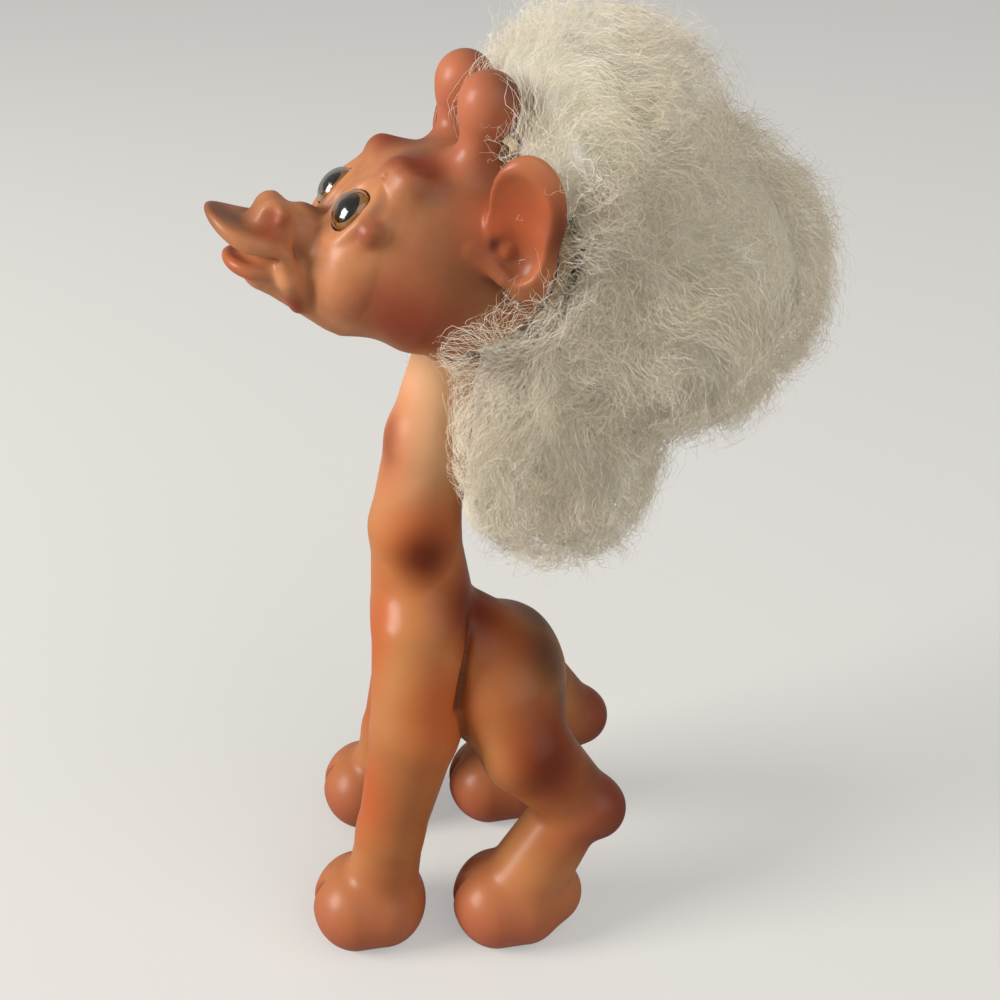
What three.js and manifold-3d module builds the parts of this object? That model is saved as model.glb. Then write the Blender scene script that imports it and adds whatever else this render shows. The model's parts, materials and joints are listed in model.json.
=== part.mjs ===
// A vintage vinyl giraffe troll doll, standing on four rounded feet, with a turning head, domed
// glass-look eyes and a long mohair mane. Millimetres, +Z up, the doll faces -Y, its left side is +X.
// The two vinyl castings are sculpted as distance fields: named masses that flow into each other.
import * as THREE from "three";
import { mergeVertices } from "three/addons/utils/BufferGeometryUtils.js";
import Module from "manifold-3d";

// Stance and legs
const FRONT_STANCE = 30; // middle of a front foot from the centre plane
const REAR_STANCE = 31; // middle of a rear foot from the centre plane
const FRONT_TOE_Y = -21; // middle of the front toes
const REAR_TOE_Y = 27.5; // middle of the rear toes
const TOE_RADIUS = 14.6; // round hoof-like toe
const FOOT_LENGTH = 9; // from the middle of the toe to the middle of the heel
const CLEFT_SPREAD = 3.2; // how far the two lobes of a toe lie apart
const CLEFT_DEPTH = 2.4; // groove between the lobes
const SOLE_CUT = 2; // how much of each round foot the flat sole takes off
const FRONT_SHIN_RADIUS = 11.2; // thinnest part of a front leg
const FRONT_ARM_RADIUS = 15.5; // front leg below the shoulder
const THIGH_RADIUS = 17; // haunch
const HOCK_RADIUS = 11; // rear heel that points backwards
const HOCK_Y = 60.5; // how far back the hock reaches
const HOCK_HEIGHT = 48; // hock above the ground

// Trunk and neck
const CHEST_HEIGHT = 112; // shoulders above the ground
const CHEST_RADIUS = 18;
const PELVIS_HEIGHT = 86; // hips above the ground
const PELVIS_Y = 28; // hips behind the chest
const PELVIS_RADIUS = 24;
const NECK_BASE_RADIUS = 16;
const NECK_TOP_RADIUS = 10; // where the neck meets the head
const NECK_LEAN = 12; // degrees that the upper neck leans back
const SEAT_HEIGHT = 206.5; // centre of the neck joint above the ground
const SEAT_Y = 12; // centre of the neck joint from the chest line

// Neck joint: the neck ends in a groove and a flange, and the head's rim snaps into the groove
const GROOVE_RADIUS = 6.6;
const FLANGE_RADIUS = 8.6;
const RIM_THICKNESS = 2.6; // the head's rim, which lies in the groove
const FLANGE_THICKNESS = 3;
const RUNNING_GAP = 0.35; // between the turning faces
const HEAD_TURN = 14.3; // degrees that the head looks to its left in the rest pose

// Head, measured from the neck seat
const SKULL_WIDTH = 30; // half width of the skull
const SKULL_LENGTH = 29; // half length
const SKULL_HEIGHT = 29.5; // half height
const SKULL_RISE = 32; // middle of the skull above the neck seat
const SKULL_Y = -3;
const CHEEK_RADIUS = 14.5;
const MUZZLE_REACH = 53; // muzzle end in front of the neck seat
const MUZZLE_RADIUS = 10.5;
const BILL_REACH = 55; // middle of the broad upper lip
const BILL_WIDTH = 14.6; // half width of the upper lip
const BILL_LENGTH = 11.8; // half length
const BILL_THICKNESS = 2.9; // half thickness
const BILL_CURL = 0.028; // how strongly its front curls up
const BILL_RISE = 40.7; // upper lip above the neck seat
const LOWER_LIP_RISE = 32.6;
const LOWER_LIP_THICKNESS = 2.3; // half thickness
const LIP_PARTING = 1.6; // half height of the slot between the lips
const NOSE_SPREAD = 3.8;
const NOSE_RISE = 46.6;
const NOSE_RADIUS = 4.5;
const BROW_SPREAD = 10.9;
const BROW_RISE = 56.5;
const BROW_RADIUS = 4.8;
const HORN_SPREAD = 11.6; // horn from the centre plane
const HORN_RISE = 75.5; // middle of the horn's ball above the neck seat
const HORN_BALL_RADIUS = 8.4;
const HORN_STALK_RADIUS = 4.9;

// Ears: open cups with a rolled rim
const EAR_SPREAD = 34.3;
const EAR_RISE = 48.4;
const EAR_Y = 11.4; // ear behind the neck joint
const EAR_WIDTH = 10.6; // half width
const EAR_HEIGHT = 19.8; // half height
const EAR_THICKNESS = 4.4;
const EAR_CUP_DEPTH = 4.8;
const EAR_SWING = 30; // degrees that the ear's open side is turned forward
const EAR_LEAN = 2; // degrees that its top leans back

// Eyes: clear dome over a black pupil and an amber back, each on a stem in a socket
const EYE_SPREAD = 10.2;
const EYE_Y = -28.6;
const EYE_RISE = 47.8;
const EYE_RADIUS = 6.5;
const EYE_DOME = 5.4; // height of the clear dome
const EYE_BACK = 2.4; // thickness of the amber back
const EYE_SIDE_TURN = 14; // degrees that an eye looks outward
const EYE_UP_TURN = 44; // degrees that an eye looks up
const PUPIL_RADIUS = 4.9;
const PUPIL_THICKNESS = 0.7;
const STEM_RADIUS = 2;
const STEM_LENGTH = 5;
const LID_RADIUS = 2; // raised rim around the eye
const SEAT_GAP = 0.3; // between pieces that touch

// Mane: a strip of hide bonded to the skull behind the horns, and the mohair that grows from it
const HIDE_THICKNESS = 2.5;
const HIDE_HALF_WIDTH = 34; // degrees to either side of the centre plane, about the skull's middle
const HIDE_START = 36; // degrees behind the crown, where the horns end
const HIDE_END = 122; // degrees behind the crown, at the nape
const MANE_GAP = 0.7; // between the soft solids of the mane and what they lie on
const MANE_BACK = { y: 64, rise: 16, length: 55, width: 42, height: 49 };
const MANE_CROWN = { y: 40, rise: 60, length: 40, width: 33, height: 35 };
const MANE_NAPE = { y: 37, rise: -43, length: 28, width: 30, height: 32 };
// Start, its radius, end and its radius
const JAW_TUFT = [[28, 16, 25], 9, [27, -3, 17], 6]; // from behind the ear over the corner of the jaw
const NECK_WING = [[24, 14, 0], 10, [22, 9, -44], 8]; // falls beside the neck
const CROWN_PARTING = 40; // upper parting above the neck seat
const CROWN_SLOPE = 14; // degrees that it rises towards the back
const NAPE_PARTING = -16; // lower parting above the neck seat
const NAPE_SLOPE = -19;
const MANE_CLEAR_DEPTH = 100; // how far below the neck seat the mane keeps off the neck

// Fineness of the faceted skins
const BODY_FACET = 6.4;
const HEAD_FACET = 4.5;
const FINE_FACET = 2.45; // at the ears and the muzzle
const MANE_FACET = 11.6;
const CLEARANCE_FACET = 5.5;
const TURNED_SIDES = 26; // sides of a turned piece
const GRID_MARGIN = 6; // free space that a skin's grid keeps around its masses
const CUTTER = 400; // side of the blocks that cut flat faces, wider than the doll

const DEG = Math.PI / 180;
const wasm = await Module();
wasm.setup();

// Distance fields: each is a function of a point that gives millimetres, less than 0 inside.
const egg = ([cx, cy, cz], [rx, ry, rz]) => (x, y, z) => {
  const [px, py, pz] = [(x - cx) / rx, (y - cy) / ry, (z - cz) / rz];
  const k = Math.hypot(px, py, pz);
  return (k * (k - 1)) / (Math.hypot(px / rx, py / ry, pz / rz) + 1e-9);
};
const ball = ([cx, cy, cz], r) => (x, y, z) => Math.hypot(x - cx, y - cy, z - cz) - r;
const limb = ([ax, ay, az], ra, [bx, by, bz], rb) => {
  const [ux, uy, uz] = [bx - ax, by - ay, bz - az];
  const uu = ux * ux + uy * uy + uz * uz;
  return (x, y, z) => {
    const [px, py, pz] = [x - ax, y - ay, z - az];
    const t = Math.min(1, Math.max(0, (px * ux + py * uy + pz * uz) / uu));
    return Math.hypot(px - t * ux, py - t * uy, pz - t * uz) - ra - t * (rb - ra);
  };
};
// A thin oval plate with a round rim. Its front curls up, like a duck's bill.
const plate = ([cx, cy, cz], [rx, ry], rise, curl) => {
  const rim = egg([0, 0, 0], [rx - rise, ry - rise, 1]);
  return (x, y, z) => {
    const lifted = z - cz - curl * Math.max(cy + 5 - y, 0) ** 2;
    return 0.8 * (Math.hypot(Math.max(rim(x - cx, y - cy, 0), 0), lifted) - rise);
  };
};
const ring = (radius, thickness) => (x, y, z) => Math.hypot(Math.hypot(x, y) - radius, z) - thickness;
const softMin = (a, b, k) => {
  const h = Math.max(k - Math.abs(a - b), 0) / k;
  return Math.min(a, b) - (h * h * k) / 4;
};
const flow = (k, ...fields) => (x, y, z) => fields.reduce((d, f) => softMin(d, f(x, y, z), k), 1e3);
const press = (k, body, tool) => (x, y, z) => -softMin(-body(x, y, z), tool(x, y, z), k);
const pair = (k, f) => (x, y, z) => softMin(f(x, y, z), f(-x, y, z), k);
const placed = (f, [px, py, pz], [rx, ry, rz]) => {
  const angles = new THREE.Euler(rx * DEG, ry * DEG, rz * DEG, "ZYX");
  const turn = new THREE.Matrix4().makeRotationFromEuler(angles);
  const m = turn.invert().elements;
  return (x, y, z) => {
    const [a, b, c] = [x - px, y - py, z - pz];
    return f(m[0] * a + m[4] * b + m[8] * c, m[1] * a + m[5] * b + m[9] * c, m[2] * a + m[6] * b + m[10] * c);
  };
};

// Grid lines from a to b, with a spare one beyond each end. Where there are several marks, each span
// between two of them takes its own step.
const lines = (a, b, step) => {
  const n = Math.ceil((b - a) / step);
  return Array.from({ length: n + 3 }, (_, i) => a + ((b - a) * (i - 1)) / n);
};
const graded = (marks, steps) => {
  const last = steps.length - 1;
  const spans = steps.map((step, i) => lines(marks[i], marks[i + 1], step));
  return spans.flatMap((span, i) => span.slice(i === 0 ? 0 : 2, i === last ? span.length : -1));
};

// The skin of a field: one vertex for each sheet that crosses a grid cell, drawn onto the surface, and
// one four-sided face for each grid edge that the surface crosses.
const CORNERS = [0, 1, 2, 3, 4, 5, 6, 7].map((c) => [c & 1, (c >> 1) & 1, c >> 2]);
const EDGES = [
  [0, 1], [2, 3], [4, 5], [6, 7], [0, 2], [1, 3],
  [4, 6], [5, 7], [0, 4], [1, 5], [2, 6], [3, 7],
];
const FACES = [[0, 2, 6, 4], [1, 3, 7, 5], [0, 1, 5, 4], [2, 3, 7, 6], [0, 1, 3, 2], [4, 5, 7, 6]];
const edgeOf = (a, b) => EDGES.findIndex(([p, q]) => (p === a && q === b) || (p === b && q === a));
const FACE_EDGES = FACES.map((f) => f.map((c, i) => edgeOf(c, f[(i + 1) % 4])));

function skin(field, xs, ys, zs) {
  const [nx, ny, nz] = [xs.length, ys.length, zs.length];
  const at = (i, j, k) => i + nx * (j + ny * k);
  const value = new Float64Array(nx * ny * nz);
  for (let k = 0; k < nz; k++)
    for (let j = 0; j < ny; j++)
      for (let i = 0; i < nx; i++) value[at(i, j, k)] = field(xs[i], ys[j], zs[k]) || 1e-6;
  const points = [];
  const cells = new Map();
  for (let k = 0; k < nz - 1; k++)
    for (let j = 0; j < ny - 1; j++)
      for (let i = 0; i < nx - 1; i++) {
        const v = CORNERS.map(([a, b, c]) => value[at(i + a, j + b, k + c)]);
        if (v.every((d) => d < 0) || v.every((d) => d > 0)) continue;
        const crossed = EDGES.map(([a, b]) => v[a] < 0 !== v[b] < 0);
        const sheet = EDGES.map((_, e) => e);
        const root = (e) => (sheet[e] === e ? e : root(sheet[e]));
        FACES.forEach((corners, f) => {
          const edges = FACE_EDGES[f];
          const cut = edges.filter((e) => crossed[e]);
          if (cut.length === 2) sheet[root(cut[0])] = root(cut[1]);
          if (cut.length === 4)
            corners.forEach((c, n) => {
              if (v[c] < 0) sheet[root(edges[n])] = root(edges[(n + 3) % 4]);
            });
        });
        const own = new Int32Array(12).fill(-1);
        const made = new Map();
        crossed.forEach((yes, e) => {
          if (!yes) return;
          const r = root(e);
          if (!made.has(r)) made.set(r, { id: points.length + made.size, sum: [0, 0, 0], n: 0 });
          const m = made.get(r);
          const [a, b] = EDGES[e];
          const t = v[a] / (v[a] - v[b]);
          const spot = [0, 1, 2].map((d) => CORNERS[a][d] + t * (CORNERS[b][d] - CORNERS[a][d]));
          m.sum[0] += xs[i] + spot[0] * (xs[i + 1] - xs[i]);
          m.sum[1] += ys[j] + spot[1] * (ys[j + 1] - ys[j]);
          m.sum[2] += zs[k] + spot[2] * (zs[k + 1] - zs[k]);
          m.n++;
          own[e] = m.id;
        });
        for (const m of made.values()) points.push(m.sum.map((s) => s / m.n));
        cells.set(at(i, j, k), own);
      }
  const quads = [];
  const around = [
    [0, [[0, 0, 0], [0, -1, 0], [0, -1, -1], [0, 0, -1]], [0, 1, 3, 2]],
    [1, [[0, 0, 0], [0, 0, -1], [-1, 0, -1], [-1, 0, 0]], [4, 6, 7, 5]],
    [2, [[0, 0, 0], [-1, 0, 0], [-1, -1, 0], [0, -1, 0]], [8, 9, 11, 10]],
  ];
  for (let k = 1; k < nz - 1; k++)
    for (let j = 1; j < ny - 1; j++)
      for (let i = 1; i < nx - 1; i++)
        for (const [axis, steps, edges] of around) {
          const a = value[at(i, j, k)];
          const b = value[at(i + (axis === 0), j + (axis === 1), k + (axis === 2))];
          if (a < 0 === b < 0) continue;
          const q = steps.map(([p, r, s], n) => cells.get(at(i + p, j + r, k + s))[edges[n]]);
          quads.push(a < 0 ? q : q.reverse());
        }
  relax(points, quads, field, (xs[1] - xs[0]) * 0.5);
  return closedSkin(points, quads);
}

// Moves a point along the field's slope until it lies on the surface.
function land(p, field, reach) {
  const e = 0.02;
  for (let n = 0; n < 4; n++) {
    const [x, y, z] = p;
    const d = field(x, y, z);
    const g = [
      (field(x + e, y, z) - field(x - e, y, z)) / (2 * e),
      (field(x, y + e, z) - field(x, y - e, z)) / (2 * e),
      (field(x, y, z + e) - field(x, y, z - e)) / (2 * e),
    ];
    const gg = g[0] ** 2 + g[1] ** 2 + g[2] ** 2 + 1e-9;
    const step = Math.max(-reach, Math.min(reach, d)) / Math.max(gg, 0.25);
    for (let a = 0; a < 3; a++) p[a] -= step * g[a];
  }
}

// Evens out the spacing of the vertices and keeps them on the surface.
function relax(points, quads, field, reach) {
  points.forEach((p) => land(p, field, reach));
  for (let pass = 0; pass < 3; pass++) {
    const sum = points.map(() => [0, 0, 0, 0]);
    for (const q of quads)
      q.forEach((a, n) => {
        const b = q[(n + 1) % 4];
        for (const [from, to] of [[a, b], [b, a]]) {
          for (let d = 0; d < 3; d++) sum[to][d] += points[from][d];
          sum[to][3]++;
        }
      });
    points.forEach((p, n) => {
      for (let d = 0; d < 3; d++) p[d] += 0.45 * (sum[n][d] / sum[n][3] - p[d]);
      land(p, field, reach);
    });
  }
}

// Cuts each four-sided face along its shorter diagonal and gives the closed solid.
function closedSkin(points, quads) {
  const far = (a, b) => Math.hypot(...points[a].map((v, d) => v - points[b][d]));
  const faces = quads.flatMap(([a, b, c, d]) =>
    far(a, c) < far(b, d) ? [a, b, c, a, c, d] : [a, b, d, b, c, d],
  );
  return new wasm.Manifold(
    new wasm.Mesh({
      numProp: 3,
      vertProperties: new Float32Array(points.flat()),
      triVerts: new Uint32Array(faces),
    }),
  );
}

// Between a three.js geometry and a solid that can be cut and joined.
function solidOf(geometry, matrix = new THREE.Matrix4()) {
  const bare = geometry.clone().applyMatrix4(matrix);
  bare.deleteAttribute("normal");
  bare.deleteAttribute("uv");
  const merged = mergeVertices(bare, 1e-4);
  return new wasm.Manifold(
    new wasm.Mesh({
      numProp: 3,
      vertProperties: new Float32Array(merged.attributes.position.array),
      triVerts: new Uint32Array(merged.index.array),
    }),
  );
}
function geometryOf(solid) {
  const m = solid.getMesh();
  const g = new THREE.BufferGeometry();
  g.setAttribute("position", new THREE.BufferAttribute(new Float32Array(m.vertProperties), 3));
  g.setIndex(new THREE.BufferAttribute(new Uint32Array(m.triVerts), 1));
  g.computeVertexNormals();
  return g;
}

// A turned piece on the Z axis, from [radius, height] pairs that start and end on the axis.
const turned = (profile) =>
  new THREE.LatheGeometry(
    profile.map(([r, z]) => new THREE.Vector2(r, z)),
    TURNED_SIDES,
  ).rotateX(Math.PI / 2);

// Body casting: trunk, neck and four legs
const seat = [0, SEAT_Y, SEAT_HEIGHT];
const neckAxis = new THREE.Vector3(0, Math.sin(NECK_LEAN * DEG), Math.cos(NECK_LEAN * DEG));
const alongNeck = (d) => seat.map((v, a) => v + d * neckAxis.getComponent(a));
const soleZ = TOE_RADIUS - SOLE_CUT; // height of a toe's middle

const toe = (x, y) =>
  press(
    2.5,
    flow(
      6,
      ...[x - CLEFT_SPREAD, x + CLEFT_SPREAD].map((side) =>
        limb([side, y, soleZ], TOE_RADIUS, [side, y + FOOT_LENGTH, soleZ], TOE_RADIUS - 1),
      ),
    ),
    egg([x, y - TOE_RADIUS - 1, soleZ], [1.6, CLEFT_DEPTH + 2, TOE_RADIUS + 3]),
  );
const neck = flow(
  3,
  limb(alongNeck(0), NECK_TOP_RADIUS, alongNeck(-30), NECK_TOP_RADIUS + 3),
  limb(alongNeck(-30), NECK_TOP_RADIUS + 3, [0, 1, CHEST_HEIGHT + 34], NECK_BASE_RADIUS - 1.5),
  limb([0, 1, CHEST_HEIGHT + 34], NECK_BASE_RADIUS - 2, [0, 3, CHEST_HEIGHT + 6], CHEST_RADIUS - 1),
);
const frontLeg = flow(
  3,
  limb(
    [11, 2, CHEST_HEIGHT], FRONT_ARM_RADIUS,
    [FRONT_STANCE - 9, 0, CHEST_HEIGHT - 32], FRONT_ARM_RADIUS - 1,
  ),
  limb(
    [FRONT_STANCE - 9, 0, CHEST_HEIGHT - 32], FRONT_ARM_RADIUS - 1,
    [FRONT_STANCE - 3, FRONT_TOE_Y + 12, 42], FRONT_SHIN_RADIUS,
  ),
  limb(
    [FRONT_STANCE - 3, FRONT_TOE_Y + 12, 42], FRONT_SHIN_RADIUS,
    [FRONT_STANCE, FRONT_TOE_Y + 8, 18], 12.5,
  ),
  toe(FRONT_STANCE, FRONT_TOE_Y),
);
const rearLeg = flow(
  3,
  limb(
    [14, PELVIS_Y + 3, PELVIS_HEIGHT + 1], THIGH_RADIUS,
    [REAR_STANCE - 9, PELVIS_Y + 9, PELVIS_HEIGHT - 14], THIGH_RADIUS - 2,
  ),
  limb(
    [REAR_STANCE - 9, PELVIS_Y + 9, PELVIS_HEIGHT - 14], THIGH_RADIUS - 2,
    [REAR_STANCE - 7, HOCK_Y - 5, HOCK_HEIGHT + 2], HOCK_RADIUS + 1,
  ),
  ball([REAR_STANCE - 6, HOCK_Y, HOCK_HEIGHT], HOCK_RADIUS),
  limb(
    [REAR_STANCE - 6, HOCK_Y - 9, HOCK_HEIGHT - 3], HOCK_RADIUS + 1,
    [REAR_STANCE - 1, REAR_TOE_Y + 10, 22], 14,
  ),
  limb(
    [REAR_STANCE, REAR_TOE_Y, soleZ], TOE_RADIUS - 1,
    [REAR_STANCE - 1, REAR_TOE_Y + 18, soleZ + 2], TOE_RADIUS - 3,
  ),
  toe(REAR_STANCE, REAR_TOE_Y),
);
const trunk = limb([0, 5, CHEST_HEIGHT - 4], CHEST_RADIUS, [0, PELVIS_Y, PELVIS_HEIGHT], PELVIS_RADIUS);
const bodyField = flow(5, flow(6, neck, pair(5, frontLeg)), flow(8, trunk, pair(5, rearLeg)));

const seatFrame = new THREE.Matrix4()
  .makeTranslation(...seat)
  .multiply(new THREE.Matrix4().makeRotationX(-NECK_LEAN * DEG));
const halfSpace = (matrix, gap = 0) =>
  solidOf(new THREE.BoxGeometry(CUTTER, CUTTER, CUTTER).translate(0, 0, CUTTER / 2 + gap / 2), matrix);
const aboveSeat = halfSpace(seatFrame, -RUNNING_GAP);
const ground = halfSpace(new THREE.Matrix4().makeRotationX(Math.PI));
const stubTop = RIM_THICKNESS + RUNNING_GAP + FLANGE_THICKNESS;
const neckStub = solidOf(
  turned([
    [0, -6],
    [GROOVE_RADIUS, -6],
    [GROOVE_RADIUS, RIM_THICKNESS + RUNNING_GAP],
    [FLANGE_RADIUS, RIM_THICKNESS + RUNNING_GAP],
    [FLANGE_RADIUS - 0.8, stubTop],
    [0, stubTop],
  ]),
  seatFrame,
);
const footSide = Math.max(FRONT_STANCE, REAR_STANCE) + CLEFT_SPREAD + TOE_RADIUS + GRID_MARGIN;
const bodyGrid = [
  lines(-footSide, footSide, BODY_FACET),
  lines(FRONT_TOE_Y - TOE_RADIUS - GRID_MARGIN, HOCK_Y + HOCK_RADIUS + GRID_MARGIN, BODY_FACET),
  lines(-SOLE_CUT - GRID_MARGIN, SEAT_HEIGHT + NECK_TOP_RADIUS + GRID_MARGIN, BODY_FACET),
];
const bodySolid = skin(bodyField, ...bodyGrid)
  .subtract(aboveSeat)
  .subtract(ground)
  .add(neckStub);

// Head casting, in its own frame with the neck seat as origin
const eyeTurn = [90 - EYE_UP_TURN, 0, EYE_SIDE_TURN];
const eyeSpot = [EYE_SPREAD, EYE_Y, EYE_RISE];
const earBlade = flow(
  5,
  egg([0, 0, EAR_HEIGHT - 15.6], [EAR_THICKNESS, EAR_WIDTH, 15.6]),
  egg([0, 1, 9.6 - EAR_HEIGHT], [EAR_THICKNESS - 0.4, EAR_WIDTH - 3.4, 9.6]),
);
const earCup = egg([EAR_CUP_DEPTH, -5.2, 3.6], [EAR_CUP_DEPTH + 0.6, EAR_WIDTH + 1.6, EAR_HEIGHT - 6.4]);
const ear = placed(press(2, earBlade, earCup), [EAR_SPREAD, EAR_Y, EAR_RISE], [-EAR_LEAN, 0, -EAR_SWING]);
const skull = flow(
  8,
  egg([0, SKULL_Y, SKULL_RISE], [SKULL_WIDTH, SKULL_LENGTH, SKULL_HEIGHT]),
  egg([0, SKULL_Y + 11, SKULL_RISE + 1], [SKULL_WIDTH - 3, SKULL_LENGTH - 3, SKULL_HEIGHT - 2]),
);
const snout = flow(
  6,
  limb([0, -28, 27], MUZZLE_RADIUS + 7, [0, 5 - MUZZLE_REACH, 34], MUZZLE_RADIUS - 1.6),
  limb([0, -34, 26], MUZZLE_RADIUS + 2, [0, -MUZZLE_REACH, LOWER_LIP_RISE - 2], 4.6),
);
const upperLip = plate([0, -BILL_REACH, BILL_RISE], [BILL_WIDTH, BILL_LENGTH], BILL_THICKNESS, BILL_CURL);
const lowerLip = plate(
  [0, -BILL_REACH, LOWER_LIP_RISE],
  [BILL_WIDTH - 4.4, BILL_LENGTH - 3.4],
  LOWER_LIP_THICKNESS,
  BILL_CURL / 2,
);
const brow = flow(
  3,
  limb([BROW_SPREAD - 6, -13.5, BROW_RISE - 2], BROW_RADIUS, [BROW_SPREAD + 4, -14, BROW_RISE], BROW_RADIUS),
  ball([BROW_SPREAD - 0.3, -16, BROW_RISE + 1.6], BROW_RADIUS - 0.8),
);
const face = flow(
  7,
  skull,
  pair(4, placed(egg([0, 0, -3], [EYE_RADIUS + 3.6, EYE_RADIUS + 3.6, 4.2]), eyeSpot, eyeTurn)),
  pair(4, limb([10, -12, 26], CHEEK_RADIUS + 3, [10, -27, 31], CHEEK_RADIUS - 1)),
  pair(3, brow),
  pair(4, limb([20, 4, 43], 9, [EAR_SPREAD - 8.4, EAR_Y - 4, EAR_RISE - 1], 5)),
);
const lids = pair(1, placed(ring(EYE_RADIUS + 0.9, LID_RADIUS), eyeSpot, eyeTurn));
const eyeBags = pair(1, ball([EYE_SPREAD + 8.6, EYE_Y + 2.8, EYE_RISE - 2.6], 3.6));
const horns = pair(
  1,
  flow(
    6,
    limb(
      [HORN_SPREAD - 2, 3, SKULL_RISE + SKULL_HEIGHT - 10], HORN_STALK_RADIUS + 2.4,
      [HORN_SPREAD, 6, HORN_RISE - 7], HORN_STALK_RADIUS - 0.2,
    ),
    ball([HORN_SPREAD, 8, HORN_RISE], HORN_BALL_RADIUS),
  ),
);
const nose = flow(
  3,
  pair(2, ball([NOSE_SPREAD, -49, NOSE_RISE], NOSE_RADIUS)),
  limb([0, -42, NOSE_RISE - 5], 6.5, [0, -51, NOSE_RISE - 3.4], 5),
);
const nostrilPits = pair(1, egg([NOSE_SPREAD + 4.4, -51, NOSE_RISE + 2.2], [2.2, 3.6, 2.3]));
const lipCorners = pair(
  1,
  flow(
    2,
    limb([11.6, -47.8, 37.4], 1.8, [10.8, -46.6, 31], 3.2),
    limb([10.8, -46.6, 31], 3.2, [8.4, -45, 23], 3),
  ),
);
const mouth = placed(
  egg([0, 0, 0], [BILL_WIDTH + 2, 14, LIP_PARTING]),
  [0, -BILL_REACH - 4.5, (BILL_RISE + LOWER_LIP_RISE) / 2 + 2.5],
  [-11, 0, 0],
);
const headBase = flow(5, face, snout, horns);
const lipped = flow(4, flow(2.4, headBase, upperLip, lowerLip), nose, lipCorners);
const headField = flow(
  2.5,
  press(2, press(2.4, flow(2, lipped, eyeBags), nostrilPits), mouth),
  lids,
  pair(1, ear),
);

// The skin below the neck seat is cut flat, so that the head's rim rests on the neck.
const belowSeat = solidOf(
  new THREE.BoxGeometry(2 * NECK_TOP_RADIUS + 4, 2 * NECK_TOP_RADIUS + 4, 20).translate(
    0,
    0,
    -10 + RUNNING_GAP / 2,
  ),
  new THREE.Matrix4().makeRotationX(-NECK_LEAN * DEG),
);
const neckSocket = solidOf(
  turned([
    [0, -12],
    [GROOVE_RADIUS + RUNNING_GAP, -12],
    [GROOVE_RADIUS + RUNNING_GAP, RIM_THICKNESS],
    [FLANGE_RADIUS + RUNNING_GAP, RIM_THICKNESS],
    [FLANGE_RADIUS + RUNNING_GAP, stubTop + 2 * RUNNING_GAP],
    [0, stubTop + 2 * RUNNING_GAP],
  ]),
  new THREE.Matrix4().makeRotationX(-NECK_LEAN * DEG),
);
const eyeMatrix = (side) =>
  new THREE.Matrix4().compose(
    new THREE.Vector3(side * EYE_SPREAD, EYE_Y, EYE_RISE),
    new THREE.Quaternion().setFromEuler(
      new THREE.Euler((90 - EYE_UP_TURN) * DEG, 0, side * EYE_SIDE_TURN * DEG, "ZYX"),
    ),
    new THREE.Vector3(1, 1, 1),
  );
const eyeSocket = turned([
  [0, -EYE_BACK - STEM_LENGTH - SEAT_GAP],
  [STEM_RADIUS + SEAT_GAP, -EYE_BACK - STEM_LENGTH - SEAT_GAP],
  [STEM_RADIUS + SEAT_GAP, -EYE_BACK - SEAT_GAP],
  [EYE_RADIUS + SEAT_GAP, -EYE_BACK - SEAT_GAP],
  [EYE_RADIUS + SEAT_GAP, 12],
  [0, 12],
]);
const earSide = EAR_SPREAD + EAR_WIDTH + GRID_MARGIN;
const billEnd = BILL_REACH + BILL_LENGTH + GRID_MARGIN;
const hornTop = HORN_RISE + HORN_BALL_RADIUS + GRID_MARGIN;
const skullBack = SKULL_Y + SKULL_LENGTH + 8 + GRID_MARGIN;
const headGrid = [
  graded([-earSide, 1 - SKULL_WIDTH, SKULL_WIDTH - 1, earSide], [FINE_FACET, HEAD_FACET, FINE_FACET]),
  graded([-billEnd, 8 - MUZZLE_REACH, skullBack], [FINE_FACET, HEAD_FACET]),
  graded(
    [-GRID_MARGIN, LOWER_LIP_RISE - 6, EAR_RISE + EAR_HEIGHT + 2, hornTop],
    [HEAD_FACET, FINE_FACET + 0.4, HEAD_FACET],
  ),
];
const headSolid = skin(headField, ...headGrid)
  .subtract(belowSeat)
  .subtract(neckSocket)
  .subtract(solidOf(eyeSocket, eyeMatrix(1)))
  .subtract(solidOf(eyeSocket, eyeMatrix(-1)));

// Eye pieces on their own axis, with the front of the amber back at height 0
const eyeIris = turned([
  [0, -EYE_BACK - STEM_LENGTH],
  [STEM_RADIUS, -EYE_BACK - STEM_LENGTH],
  [STEM_RADIUS, -EYE_BACK],
  [EYE_RADIUS, -EYE_BACK],
  [EYE_RADIUS, 0],
  [0, 0],
]);
const eyePupil = turned([
  [0, SEAT_GAP],
  [PUPIL_RADIUS, SEAT_GAP],
  [PUPIL_RADIUS, SEAT_GAP + PUPIL_THICKNESS],
  [0, SEAT_GAP + PUPIL_THICKNESS],
]);
const domeCurve = [0.35, 0.65, 0.85, 0.96].map((t) => [
  EYE_RADIUS * Math.cos((t * Math.PI) / 2),
  1 + (EYE_DOME - 1) * Math.sin((t * Math.PI) / 2),
]);
const eyeLens = turned([
  [0, 2 * SEAT_GAP + PUPIL_THICKNESS],
  [PUPIL_RADIUS + SEAT_GAP, 2 * SEAT_GAP + PUPIL_THICKNESS],
  [PUPIL_RADIUS + SEAT_GAP, SEAT_GAP],
  [EYE_RADIUS, SEAT_GAP],
  [EYE_RADIUS, 1],
  ...domeCurve,
  [0, EYE_DOME],
]);

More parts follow.
